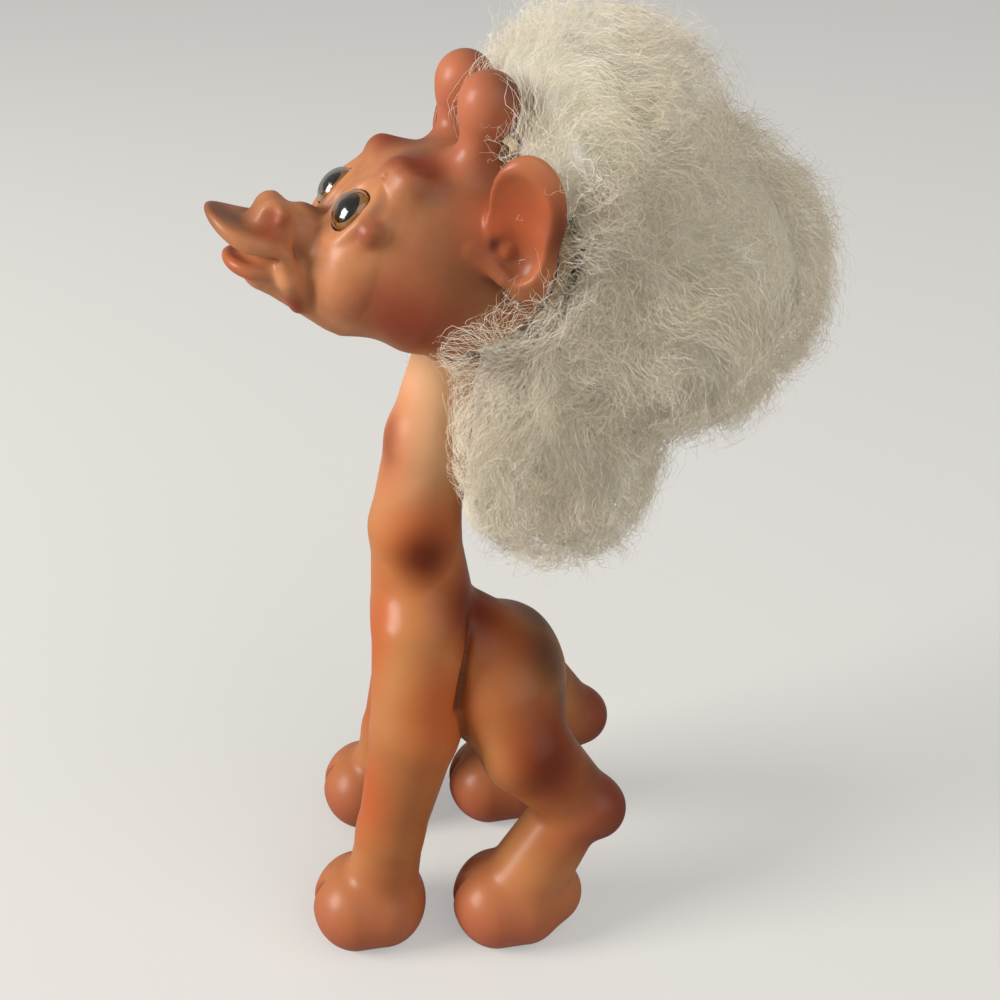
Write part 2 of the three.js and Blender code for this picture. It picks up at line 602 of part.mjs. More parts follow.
// The hide follows the skull: each of its points is found along a ray from the skull's middle.
function hideSheet(distance) {
  const rows = [];
  for (let a = 0; a <= 12; a++) {
    const pitch = (HIDE_START + ((HIDE_END - HIDE_START) * a) / 12) * DEG;
    const row = [];
    for (let b = 0; b <= 8; b++) {
      const side = HIDE_HALF_WIDTH * (b / 4 - 1) * DEG;
      const dir = [Math.sin(side), Math.cos(side) * Math.sin(pitch), Math.cos(side) * Math.cos(pitch)];
      let [lo, hi] = [0, 90];
      for (let n = 0; n < 40; n++) {
        const r = (lo + hi) / 2;
        if (face(r * dir[0], SKULL_Y + r * dir[1], SKULL_RISE + r * dir[2]) < distance) lo = r;
        else hi = r;
      }
      row.push([lo * dir[0], SKULL_Y + lo * dir[1], SKULL_RISE + lo * dir[2]]);
    }
    rows.push(row);
  }
  return rows;
}
function hideGeometry() {
  const sheets = [hideSheet(SEAT_GAP + 0.3), hideSheet(SEAT_GAP + 0.3 + HIDE_THICKNESS)];
  const [rows, cols] = [13, 9];
  const id = (s, a, b) => s * rows * cols + a * cols + b;
  const faces = [];
  const quad = (p, q, r, s) => faces.push(p, r, q, p, s, r);
  for (let a = 0; a < rows - 1; a++)
    for (let b = 0; b < cols - 1; b++) {
      quad(id(1, a, b), id(1, a + 1, b), id(1, a + 1, b + 1), id(1, a, b + 1));
      quad(id(0, a, b), id(0, a, b + 1), id(0, a + 1, b + 1), id(0, a + 1, b));
    }
  for (let a = 0; a < rows - 1; a++) {
    quad(id(0, a, 0), id(0, a + 1, 0), id(1, a + 1, 0), id(1, a, 0));
    quad(id(0, a + 1, cols - 1), id(0, a, cols - 1), id(1, a, cols - 1), id(1, a + 1, cols - 1));
  }
  for (let b = 0; b < cols - 1; b++) {
    quad(id(0, 0, b + 1), id(0, 0, b), id(1, 0, b), id(1, 0, b + 1));
    quad(id(0, rows - 1, b), id(0, rows - 1, b + 1), id(1, rows - 1, b + 1), id(1, rows - 1, b));
  }
  const g = new THREE.BufferGeometry();
  g.setAttribute("position", new THREE.Float32BufferAttribute(sheets.flat(3), 3));
  g.setIndex(faces);
  return g;
}

// Mohair: one soft mass around the back of the head, in three locks that meet along two partings
const overHide = (x, y, z) => face(x, y, z) - HIDE_THICKNESS - SEAT_GAP - 0.3;
const ears = pair(1, ear);
const skinAndHide = (x, y, z) => Math.min(overHide(x, y, z), headBase(x, y, z) - MANE_GAP, ears(x, y, z));
const neckColumn = placed(
  limb([0, 0, -MANE_CLEAR_DEPTH], NECK_BASE_RADIUS + 6, [0, 0, 10], NECK_TOP_RADIUS + 4),
  [0, 0, 0],
  [-NECK_LEAN, 0, 0],
);
const tuft = ({ y, rise, length, width, height }) => egg([0, y, rise], [width, length, height]);
const maneMass = flow(
  14,
  tuft(MANE_CROWN),
  tuft(MANE_BACK),
  tuft(MANE_NAPE),
  limb([0, 30, 20], 27, [0, MANE_NAPE.y, MANE_NAPE.rise], MANE_NAPE.width - 6),
);
const coveringMane = flow(10, maneMass, pair(1, limb(...JAW_TUFT)), pair(1, limb(...NECK_WING)));
const clearance = (x, y, z) => Math.min(skinAndHide(x, y, z) - MANE_GAP, neckColumn(x, y, z));
const maneSide = Math.max(MANE_BACK.width, MANE_CROWN.width, MANE_NAPE.width) + GRID_MARGIN;
const maneEnd = MANE_BACK.y + MANE_BACK.length + GRID_MARGIN;
const maneTop = MANE_CROWN.rise + MANE_CROWN.height + GRID_MARGIN;
const maneGrid = [
  lines(-maneSide, maneSide, MANE_FACET),
  lines(JAW_TUFT[2][1] - JAW_TUFT[3] - GRID_MARGIN, maneEnd, MANE_FACET),
  lines(MANE_NAPE.rise - MANE_NAPE.height - GRID_MARGIN, maneTop, MANE_FACET),
];
const columnEnd = MANE_CLEAR_DEPTH + NECK_BASE_RADIUS + 6 + GRID_MARGIN;
const clearanceGrid = [
  lines(-earSide, earSide, CLEARANCE_FACET),
  lines(-billEnd, columnEnd * 0.4, CLEARANCE_FACET),
  lines(-columnEnd, hornTop, CLEARANCE_FACET),
];
const maneSolid = skin(coveringMane, ...maneGrid).subtract(skin(clearance, ...clearanceGrid));

// The half space above a parting, which slopes up or down towards the back.
const above = ([y, z], slope, gap) => {
  const parting = new THREE.Matrix4().makeTranslation(0, y, z);
  return halfSpace(parting.multiply(new THREE.Matrix4().makeRotationX(slope * DEG)), gap);
};
const crownLine = [[MANE_CROWN.y, CROWN_PARTING], CROWN_SLOPE];
const napeLine = [[MANE_NAPE.y, NAPE_PARTING], NAPE_SLOPE];
const maneCrown = maneSolid.intersect(above(...crownLine, MANE_GAP));
const maneBack = maneSolid.subtract(above(...crownLine, -MANE_GAP)).intersect(above(...napeLine, MANE_GAP));
const maneNape = maneSolid.subtract(above(...napeLine, -MANE_GAP));

// Materials
const vinyl = new THREE.MeshStandardMaterial({ color: 0xc77a45, roughness: 0.42, metalness: 0 });
const headVinyl = new THREE.MeshStandardMaterial({ color: 0xb56a48, roughness: 0.42, metalness: 0 });
const clearDome = new THREE.MeshStandardMaterial({
  color: 0xffffff, roughness: 0.05, metalness: 0, transparent: true, opacity: 0.3,
});
const black = new THREE.MeshStandardMaterial({ color: 0x07070a, roughness: 0.2, metalness: 0 });
const amber = new THREE.MeshStandardMaterial({ color: 0xb8741f, roughness: 0.3, metalness: 0 });
const hideLeather = new THREE.MeshStandardMaterial({ color: 0xcdb893, roughness: 0.9, metalness: 0 });
const mohair = new THREE.MeshStandardMaterial({ color: 0xe9dfc0, roughness: 0.95, metalness: 0 });

// Assembly
const named = (name, geometry, material, matrix) => {
  const mesh = new THREE.Mesh(geometry, material);
  mesh.name = name;
  if (matrix) matrix.decompose(mesh.position, mesh.quaternion, mesh.scale);
  return mesh;
};
const doll = new THREE.Group();
doll.add(named("body_shell", geometryOf(bodySolid), vinyl));

const head = new THREE.Group();
head.position.set(...seat);
head.quaternion.setFromAxisAngle(neckAxis, HEAD_TURN * DEG);
head.add(named("head_shell", geometryOf(headSolid), headVinyl));
for (const [word, side] of [["left", 1], ["right", -1]]) {
  head.add(named("eye_iris_" + word, eyeIris, amber, eyeMatrix(side)));
  head.add(named("eye_pupil_" + word, eyePupil, black, eyeMatrix(side)));
  head.add(named("eye_lens_" + word, eyeLens, clearDome, eyeMatrix(side)));
}
head.add(named("mane_hide", hideGeometry(), hideLeather));
head.add(named("mane_crown", geometryOf(maneCrown), mohair));
head.add(named("mane_back", geometryOf(maneBack), mohair));
head.add(named("mane_nape", geometryOf(maneNape), mohair));
doll.add(head);

// The origin lies on the ground, under the middle of the whole doll.
const group = new THREE.Group();
group.add(doll);
group.updateMatrixWorld(true);
const box = new THREE.Box3().setFromObject(doll, true);
doll.position.set(-(box.min.x + box.max.x) / 2, -(box.min.y + box.max.y) / 2, -box.min.z);

export default group;
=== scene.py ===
"""The looks of a giraffe-bodied troll doll: two airbrushed vinyl castings, domed eyes and a mohair mane.

The castings and the mane are sculpted from named masses that flow into each other, the same masses as in
the CAD solids that they stand for, with finer detail. The sculpting works in millimetres and the scene in
metres.
"""
import math

import bpy
import numpy as np
from mathutils import Euler, Matrix, Vector
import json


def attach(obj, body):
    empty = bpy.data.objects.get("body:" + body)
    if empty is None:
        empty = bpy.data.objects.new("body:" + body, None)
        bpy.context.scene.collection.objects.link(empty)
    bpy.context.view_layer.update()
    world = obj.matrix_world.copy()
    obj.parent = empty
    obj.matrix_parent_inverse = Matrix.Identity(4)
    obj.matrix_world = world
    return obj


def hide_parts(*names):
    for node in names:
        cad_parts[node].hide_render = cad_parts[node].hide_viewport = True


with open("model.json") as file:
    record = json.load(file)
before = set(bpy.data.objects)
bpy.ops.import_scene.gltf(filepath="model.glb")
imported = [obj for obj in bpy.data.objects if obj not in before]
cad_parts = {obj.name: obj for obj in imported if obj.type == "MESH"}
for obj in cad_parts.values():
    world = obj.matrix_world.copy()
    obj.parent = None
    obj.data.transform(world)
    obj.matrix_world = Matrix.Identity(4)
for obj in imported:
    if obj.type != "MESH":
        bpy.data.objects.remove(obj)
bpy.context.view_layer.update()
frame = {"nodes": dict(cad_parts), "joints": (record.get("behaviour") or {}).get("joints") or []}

MM = 0.001

# Where the castings lie. The doll's own frame has its origin on the ground under the chest, the head's own
# frame has it at the neck joint.
NECK_JOINT = frame["joints"][0]
SEAT_Y = 12
SEAT = np.array(NECK_JOINT["pos_m"]) / MM
SEAT_HEIGHT = SEAT[2]
DOLL = SEAT - (0, SEAT_Y, SEAT_HEIGHT)
NECK_LEAN = 12
HEAD_TURN = 14.3
TURN = np.array(Matrix.Rotation(math.radians(HEAD_TURN), 3, Vector(NECK_JOINT["axis"])))

# Body sizes
FRONT_STANCE, REAR_STANCE = 30, 31
FRONT_TOE_Y, REAR_TOE_Y = -21, 27.5
TOE_RADIUS, FOOT_LENGTH = 14.6, 9
CLEFT_SPREAD, CLEFT_DEPTH, SOLE_CUT = 3.2, 2.4, 2
FRONT_SHIN_RADIUS, FRONT_ARM_RADIUS, THIGH_RADIUS = 11.2, 15.5, 17
HOCK_RADIUS, HOCK_Y, HOCK_HEIGHT = 11, 60.5, 48
CHEST_HEIGHT, CHEST_RADIUS = 112, 18
PELVIS_HEIGHT, PELVIS_Y, PELVIS_RADIUS = 86, 28, 24
NECK_BASE_RADIUS, NECK_TOP_RADIUS = 16, 10
GROOVE_RADIUS, FLANGE_RADIUS, RIM_THICKNESS, FLANGE_THICKNESS, RUNNING_GAP = 6.6, 8.6, 2.6, 3, 0.35

# Head sizes, from the neck joint
SKULL_WIDTH, SKULL_LENGTH, SKULL_HEIGHT, SKULL_RISE, SKULL_Y = 30, 29, 29.5, 32, -3
CHEEK_RADIUS, MUZZLE_REACH, MUZZLE_RADIUS = 14.5, 53, 10.5
BILL_REACH, BILL_WIDTH, BILL_LENGTH, BILL_THICKNESS, BILL_CURL, BILL_RISE = 55, 14.6, 11.8, 2.9, 0.028, 40.7
LOWER_LIP_RISE, LOWER_LIP_THICKNESS, LIP_PARTING = 32.6, 2.3, 1.2
NOSE_SPREAD, NOSE_RISE, NOSE_RADIUS = 3.8, 46.6, 4.5
BROW_SPREAD, BROW_RISE, BROW_RADIUS = 10.9, 56.5, 4.8
HORN_SPREAD, HORN_RISE, HORN_BALL_RADIUS, HORN_STALK_RADIUS = 11.6, 75.5, 8.4, 4.9
EAR_SPREAD, EAR_Y, EAR_RISE = 34.3, 11.4, 48.4
EAR_THICKNESS, EAR_WIDTH, EAR_HEIGHT, EAR_CUP_DEPTH, EAR_SWING, EAR_LEAN = 4.4, 10.6, 19.8, 4.8, 30, 2
EYE_SPREAD, EYE_Y, EYE_RISE, EYE_RADIUS = 10.2, -28.6, 47.8, 6.5
EYE_DOME, EYE_BACK, EYE_SIDE_TURN, EYE_UP_TURN = 5.4, 2.4, 14, 44
PUPIL_RADIUS, LENS_WALL, STEM_RADIUS, STEM_LENGTH, SEAT_GAP = 4.4, 0.5, 2, 5, 0.3
LID_THICKNESS, LID_LAP, LID_CORNER_REACH, LID_ARCH, LID_CORNER_ANGLE = 1.6, 0.3, 3.2, 1.1, 80

# Mane masses, from the neck joint
HIDE_THICKNESS, HIDE_CLEARANCE = 2.5, 0.7
MANE_BACK = {"y": 64, "rise": 16, "length": 55, "width": 42, "height": 49}
MANE_CROWN = {"y": 40, "rise": 60, "length": 40, "width": 33, "height": 35}
MANE_NAPE = {"y": 37, "rise": -43, "length": 28, "width": 30, "height": 32}
JAW_TUFT = ([28, 16, 25], 9, [27, -3, 17], 6)
NECK_WING = ([24, 14, 0], 10, [22, 9, -44], 8)
NECK_CURTAIN = ([27, 0, 16], 5.5, [23, 3, -26], 6)
BEHIND_EAR = ([30, 22, 34], 10, [30, 25, 62], 10)
MANE_LOW, MANE_HIGH = [-54, -26, -92], [54, 130, 108]
MANE_FLOOR = 121
SWIRL_CENTRE, SWIRL = (22, 36), math.radians(38)

# Wool and strands: the core lies under the mane's outline, the strands fill the shell between the two
WOOL_DEPTH, LUMP_HEIGHT, LUMP_LENGTH = 7, 2, 26
WOOL_OFF_VINYL, WOOL_OFF_EARS, WOOL_START_Y = 3, 7, 23
LOCKS, PER_LOCK, KNOTS = 9, 3050, 10
ROOT_MARGIN, COMBED, LOOSENESS, LIFT = 0.7, 0.75, 0.55, 0.6
COMB_PULL, SWAY, SWAY_LENGTH, KINK = 0.08, 0.2, 15, 0.13
STRAND_LENGTHS, STRAND_RADII, STRAND_CURL, LONGEST_REACH = (10, 25), (0.05, 0.095), 0.75, 9.5
FACE_SIDE_Y, FACE_SIDE_REACH, FACE_SIDE_RADIUS = 15, 0.35, 0.8

# Distances between the points of the sculpted surfaces
BODY_STEP, HEAD_STEP, WOOL_STEP = 1.05, 0.8, 1.9


# Distance fields: each takes arrays of x, y and z and gives millimetres, less than 0 inside
def egg(centre, radii):
    cx, cy, cz = centre
    rx, ry, rz = radii

    def field(x, y, z):
        px, py, pz = (x - cx) / rx, (y - cy) / ry, (z - cz) / rz
        k = np.sqrt(px * px + py * py + pz * pz)
        slope = np.sqrt((px / rx) ** 2 + (py / ry) ** 2 + (pz / rz) ** 2)
        return k * (k - 1) / (slope + 1e-9)
    return field


def ball(centre, radius):
    cx, cy, cz = centre
    return lambda x, y, z: np.sqrt((x - cx) ** 2 + (y - cy) ** 2 + (z - cz) ** 2) - radius


def limb(start, start_radius, end, end_radius):
    a, u = np.array(start, float), np.array(end, float) - start
    uu = u @ u

    def field(x, y, z):
        px, py, pz = x - a[0], y - a[1], z - a[2]
        t = np.clip((px * u[0] + py * u[1] + pz * u[2]) / uu, 0, 1)
        away = np.sqrt((px - t * u[0]) ** 2 + (py - t * u[1]) ** 2 + (pz - t * u[2]) ** 2)
        return away - start_radius - t * (end_radius - start_radius)
    return field


def soft_min(a, b, k):
    h = np.maximum(k - np.abs(a - b), 0) / k
    return np.minimum(a, b) - h * h * k / 4


def flow(k, *fields):
    def field(x, y, z):
        d = fields[0](x, y, z)
        for f in fields[1:]:
            d = soft_min(d, f(x, y, z), k)
        return d
    return field


def chain(k, *stops):
    """Limbs that run from stop to stop, each stop a place and a radius."""
    return flow(k, *(limb(*near, *far) for near, far in zip(stops, stops[1:])))


def press(k, body, tool):
    return lambda x, y, z: -soft_min(-body(x, y, z), tool(x, y, z), k)


def pair(k, f):
    """A field and its mirror image on the other side."""
    return lambda x, y, z: soft_min(f(x, y, z), f(-x, y, z), k)


def placed(f, spot, turn):
    m = np.array(Euler([math.radians(a) for a in turn], "XYZ").to_matrix())

    def field(x, y, z):
        a, b, c = x - spot[0], y - spot[1], z - spot[2]
        return f(*(m[0, i] * a + m[1, i] * b + m[2, i] * c for i in range(3)))
    return field


def plate(centre, radii, rise, curl):
    """A thin oval plate with a round rim that curls up towards -Y, like a duck's bill."""
    cx, cy, cz = centre
    rim = egg([0, 0, 0], [radii[0] - rise, radii[1] - rise, 1])

    def field(x, y, z):
        lifted = z - cz - curl * np.clip(cy + 5 - y, 0, None) ** 2
        out = rim(x - cx, y - cy, 0 * z)
        return 0.8 * (np.sqrt(np.clip(out, 0, None) ** 2 + lifted * lifted) - rise)
    return field


def almond_lids(short, longer, height, corner_angle, thickness):
    """A rolled rim that laps over a dome's two sides and runs out to a low corner at both ends."""
    def field(x, y, z):
        out = np.sqrt(x * x + y * y)
        along = np.abs(x * math.cos(corner_angle) + y * math.sin(corner_angle)) / (out + 1e-9)
        ends = along ** 3
        radius, rise = short + (longer - short) * ends, height * (1 - ends)
        return np.sqrt((out - radius) ** 2 + (z - rise) ** 2) - thickness
    return field


# Body, in the doll's own frame
SOLE_Z = TOE_RADIUS - SOLE_CUT
neck_axis = np.array([0, math.sin(math.radians(NECK_LEAN)), math.cos(math.radians(NECK_LEAN))])


def along_neck(distance):
    return np.array([0, SEAT_Y, SEAT_HEIGHT]) + distance * neck_axis


def toe(x, y):
    lobes = [
        limb([x + s, y, SOLE_Z], TOE_RADIUS, [x + s, y + FOOT_LENGTH, SOLE_Z], TOE_RADIUS - 1)
        for s in (-CLEFT_SPREAD, CLEFT_SPREAD)
    ]
    cleft = egg([x, y - TOE_RADIUS - 1, SOLE_Z + 2], [1.4, CLEFT_DEPTH + 3, TOE_RADIUS + 3])
    return press(2.2, flow(5, *lobes), cleft)


neck = flow(
    3,
    limb(along_neck(0), NECK_TOP_RADIUS, along_neck(-30), NECK_TOP_RADIUS + 3),
    limb(along_neck(-30), NECK_TOP_RADIUS + 3, [0, 1, CHEST_HEIGHT + 34], NECK_BASE_RADIUS - 1.5),
    limb([0, 1, CHEST_HEIGHT + 34], NECK_BASE_RADIUS - 2, [0, 3, CHEST_HEIGHT + 6], CHEST_RADIUS - 1),
)
elbow = [FRONT_STANCE - 9, 0, CHEST_HEIGHT - 32]
front_knee = [FRONT_STANCE - 3, FRONT_TOE_Y + 12, 42]
front_ankle = [FRONT_STANCE, FRONT_TOE_Y + 8, 18]
arm = chain(
    3, ([11, 2, CHEST_HEIGHT], FRONT_ARM_RADIUS), (elbow, FRONT_ARM_RADIUS - 1),
    (front_knee, FRONT_SHIN_RADIUS), (front_ankle, 12.5),
)
front_leg = flow(3, arm, toe(FRONT_STANCE, FRONT_TOE_Y))
stifle = [REAR_STANCE - 9, PELVIS_Y + 9, PELVIS_HEIGHT - 14]
hock = [REAR_STANCE - 6, HOCK_Y, HOCK_HEIGHT]
below_hock = [REAR_STANCE - 6, HOCK_Y - 9, HOCK_HEIGHT - 3]
rear_ankle = [REAR_STANCE - 1, REAR_TOE_Y + 10, 22]
heel = [REAR_STANCE - 1, REAR_TOE_Y + 18, SOLE_Z + 2]
thigh = chain(
    3, ([14, PELVIS_Y + 3, PELVIS_HEIGHT + 1], THIGH_RADIUS), (stifle, THIGH_RADIUS - 2),
    ([REAR_STANCE - 7, HOCK_Y - 5, HOCK_HEIGHT + 2], HOCK_RADIUS + 1),
)
rear_leg = flow(
    3, thigh, ball(hock, HOCK_RADIUS), limb(below_hock, HOCK_RADIUS + 1, rear_ankle, 14),
    limb([REAR_STANCE, REAR_TOE_Y, SOLE_Z], TOE_RADIUS - 1, heel, 11.6), toe(REAR_STANCE, REAR_TOE_Y),
)
trunk = limb([0, 5, CHEST_HEIGHT - 4], CHEST_RADIUS, [0, PELVIS_Y, PELVIS_HEIGHT], PELVIS_RADIUS)
flank_crease = limb([11, 19, 119], 0.4, [25, 14, 92], 1.2)
front, rear = flow(6, neck, pair(5, front_leg)), flow(8, trunk, pair(5, rear_leg))
body_field = press(2.5, flow(2.5, front, rear), pair(1, flank_crease))

# Head, in its own frame
eye_spot = [EYE_SPREAD, EYE_Y, EYE_RISE]
eye_turn = [90 - EYE_UP_TURN, 0, EYE_SIDE_TURN]
ear_turn = [-EAR_LEAN, 0, -EAR_SWING]
ear_blade = flow(
    5,
    egg([0, 0, EAR_HEIGHT - 15.6], [EAR_THICKNESS, EAR_WIDTH, 15.6]),
    egg([0, 1, 9.6 - EAR_HEIGHT], [EAR_THICKNESS - 0.4, EAR_WIDTH - 3.4, 9.6]),
)
ear_cup = flow(
    4,
    egg([EAR_CUP_DEPTH, -5.2, 3.6], [EAR_CUP_DEPTH + 0.6, EAR_WIDTH + 1.6, EAR_HEIGHT - 6.4]),
    egg([EAR_CUP_DEPTH - 1, -1.5, -7], [EAR_CUP_DEPTH - 0.4, 6, 6.5]),
)
ear_canal = egg([0.6, -7.4, -5], [1.7, 1.6, 2])
ear_shape = flow(
    1.2,
    press(1.2, press(1.4, ear_blade, ear_cup), ear_canal),
    egg([-0.9, -4.6, -6.4], [1.6, 1.8, 2.4]),
)
ear_root = limb([20, 4, 43], 9, [EAR_SPREAD - 8.4, EAR_Y - 4, EAR_RISE - 1], 5)
ear_fold = limb(
    [EAR_SPREAD - 6.5, EAR_Y - 12.4, EAR_RISE - 7], 2.3, [EAR_SPREAD - 1.6, EAR_Y - 5.4, EAR_RISE - 13], 2,
)
ear = flow(2.5, placed(ear_shape, [EAR_SPREAD, EAR_Y, EAR_RISE], ear_turn), ear_fold)
skull = flow(
    8,
    egg([0, SKULL_Y, SKULL_RISE], [SKULL_WIDTH, SKULL_LENGTH, SKULL_HEIGHT]),
    egg([0, SKULL_Y + 11, SKULL_RISE + 1], [SKULL_WIDTH - 3, SKULL_LENGTH - 3, SKULL_HEIGHT - 2]),
)
snout = flow(
    6,
    limb([0, -28, 27], MUZZLE_RADIUS + 7, [0, 5 - MUZZLE_REACH, 34], MUZZLE_RADIUS - 1.6),
    limb([0, -34, 26], MUZZLE_RADIUS + 2, [0, -MUZZLE_REACH, LOWER_LIP_RISE - 2], 4.6),
)
upper_lip = plate([0, -BILL_REACH, BILL_RISE], [BILL_WIDTH, BILL_LENGTH], BILL_THICKNESS, BILL_CURL)
lower_lip = plate(
    [0, -BILL_REACH, LOWER_LIP_RISE], [BILL_WIDTH - 4.4, BILL_LENGTH - 3.4],
    LOWER_LIP_THICKNESS, BILL_CURL / 2,
)
eye_mound = placed(egg([0, 0, -3], [EYE_RADIUS + 3.6, EYE_RADIUS + 3.6, 4.2]), eye_spot, eye_turn)
cheek = limb([10, -12, 26], CHEEK_RADIUS + 3, [10, -27, 31], CHEEK_RADIUS - 1)
brow_inner, brow_outer = [BROW_SPREAD - 6, -13.5, BROW_RISE - 2], [BROW_SPREAD + 4, -14, BROW_RISE]
brow = flow(
    3, limb(brow_inner, BROW_RADIUS, brow_outer, BROW_RADIUS),
    ball([BROW_SPREAD - 0.3, -16, BROW_RISE + 1.6], BROW_RADIUS - 0.8),
)
face = flow(7, skull, pair(4, eye_mound), pair(4, cheek), pair(3, brow), pair(4, ear_root))
horn = flow(
    6,
    limb([HORN_SPREAD - 2, 3, SKULL_RISE + SKULL_HEIGHT - 10], HORN_STALK_RADIUS + 2.4,
         [HORN_SPREAD, 6, HORN_RISE - 7], HORN_STALK_RADIUS - 0.2),
    ball([HORN_SPREAD, 8, HORN_RISE], HORN_BALL_RADIUS),
)
head_base = flow(5, face, snout, pair(1, horn))
nose_bridge = limb([0, -42, NOSE_RISE - 5], 6.5, [0, -51, NOSE_RISE - 3.4], 5)
nose = flow(3, ball([NOSE_SPREAD, -49, NOSE_RISE], NOSE_RADIUS), nose_bridge)
nostril_pit = egg([NOSE_SPREAD + 4.7, -52, NOSE_RISE + 2], [2.3, 3.4, 2.6])
nostril_rim = ball([NOSE_SPREAD + 3.1, -47.8, NOSE_RISE + 1.4], 2)
eye_bag = ball([EYE_SPREAD + 8.6, EYE_Y + 2.8, EYE_RISE - 2.6], 3.6)
mouth = placed(egg([0, 0, 0], [BILL_WIDTH + 2, 14, LIP_PARTING]), [0, -BILL_REACH - 4.5, 39.2], [-11, 0, 0])
lip_corner = chain(2, ([11.6, -47.8, 37.4], 1.7), ([10.8, -46.6, 31], 2.9), ([8.6, -45, 22.6], 1.7))
smile_fold = chain(
    1, ([11.4, -47.4, 44], 0.5), ([14, -43.8, 38.4], 1), ([14.2, -42.6, 30.5], 1.1), ([12, -41.4, 21.4], 0.7),
)
bag_fold = ball([22.6, -22.6, 50.2], 1.9)
brow_hollow = egg([15.8, -10.6, 66], [5.4, 5.6, 5.6])
brow_wrinkles = flow(
    0.6, limb([10.9, -24, 59.6], 0.3, [12.4, -20.6, 58.1], 0.7),
    limb([13.1, -24.4, 57.4], 0.2, [14.8, -21.6, 56.2], 0.4),
)
lid_rim = almond_lids(
    EYE_RADIUS + LID_LAP, EYE_RADIUS + LID_CORNER_REACH, LID_ARCH,
    math.radians(LID_CORNER_ANGLE), LID_THICKNESS,
)
lid = placed(lid_rim, eye_spot, eye_turn)
sculpted = flow(4, flow(2.4, head_base, upper_lip, lower_lip), pair(2, nose), pair(1, lip_corner))
sculpted = flow(1.6, sculpted, pair(1, eye_bag), pair(1, nostril_rim))
pressed_in = (
    (2.4, nostril_pit), (2.5, brow_hollow), (1.8, smile_fold), (0.8, brow_wrinkles), (2, bag_fold),
)
for softness, tool in pressed_in:
    sculpted = press(softness, sculpted, pair(1, tool))
head_field = flow(2, press(1.6, sculpted, mouth), pair(1, lid), pair(1, ear))

# Surfaces: a grid's corners and edges, then points and faces from a field
CORNERS = [(i, j, k) for i in (0, 1) for j in (0, 1) for k in (0, 1)]
CELL_EDGES = [(a, b) for a in CORNERS for b in CORNERS if a < b and sum(p != q for p, q in zip(a, b)) == 1]


def skin(field, low, high, step):
    """Points and four-sided faces around a field: one point for each grid cell that the surface crosses."""
    axes = [np.arange(a - 2 * step, b + 3 * step, step) for a, b in zip(low, high)]
    shape = [len(a) for a in axes]
    stride = 3
    rough = field(*np.meshgrid(*(a[::stride] for a in axes), indexing="ij"))
    value = rough
    for axis in range(3):
        value = np.repeat(value, stride, axis)
    value = value[:shape[0], :shape[1], :shape[2]].copy()
    close = np.argwhere(np.abs(value) < stride * step * 1.9)
    value[tuple(close.T)] = field(*(axes[a][close[:, a]] for a in range(3)))
    inside = value < 0
    nx, ny, nz = (n - 1 for n in shape)
    count = sum(inside[i:nx + i, j:ny + j, k:nz + k].astype(int) for i, j, k in CORNERS)
    crossed = (count > 0) & (count < 8)
    cells = np.argwhere(crossed)
    index = np.full(crossed.shape, -1)
    index[tuple(cells.T)] = np.arange(len(cells))
    total, hits = np.zeros((len(cells), 3)), np.zeros((len(cells), 1))
    for a, b in CELL_EDGES:
        va, vb = value[tuple((cells + a).T)], value[tuple((cells + b).T)]
        cut = (va < 0) != (vb < 0)
        t = (va[cut] / (va[cut] - vb[cut]))[:, None]
        total[cut] += np.array(a) + t * (np.array(b) - a)
        hits[cut] += 1
    points = np.array([a[0] for a in axes]) + (cells + total / hits) * step
    faces = []
    for axis in range(3):
        u, v = np.eye(3, dtype=int)[(axis + 1) % 3], np.eye(3, dtype=int)[(axis + 2) % 3]
        ahead = np.roll(inside, -1, axis)
        edges = np.argwhere(inside != ahead)
        edges = edges[np.all((edges > 0) & (edges < np.array(shape) - 1), axis=1)]
        quads = np.stack([index[tuple((edges - s).T)] for s in (0 * u, u, u + v, v)], 1)
        flip = ~inside[tuple(edges.T)]
        quads[flip] = quads[flip][:, ::-1]
        faces.append(quads)
    return points, np.concatenate(faces)


def slope_of(points, field, e=0.01):
    """The field's value at each point, and its slope."""
    d = field(*points.T)
    slope = np.stack([(field(*(points + e * np.eye(3)[a]).T) - d) / e for a in range(3)], 1)
    return d, slope


def neighbours_mean(points, faces):
    total, hits = np.zeros_like(points), np.zeros(len(points))
    for n in range(4):
        for a, b in ((faces[:, n], faces[:, (n + 1) % 4]), (faces[:, (n + 1) % 4], faces[:, n])):
            for c in range(points.shape[1]):
                total[:, c] += np.bincount(a, points[b, c], len(points))
            hits += np.bincount(a, minlength=len(points))
    return total / hits[:, None]


def settle(points, faces, field, rounds=2):
    """Evens out the points and draws them onto the surface."""
    for _ in range(rounds):
        points = points + 0.5 * (neighbours_mean(points, faces) - points)
        for _ in range(2):
            d, slope = slope_of(points, field)
            points = points - (np.clip(d, -1, 1) / np.maximum((slope ** 2).sum(1), 0.25))[:, None] * slope
    return points


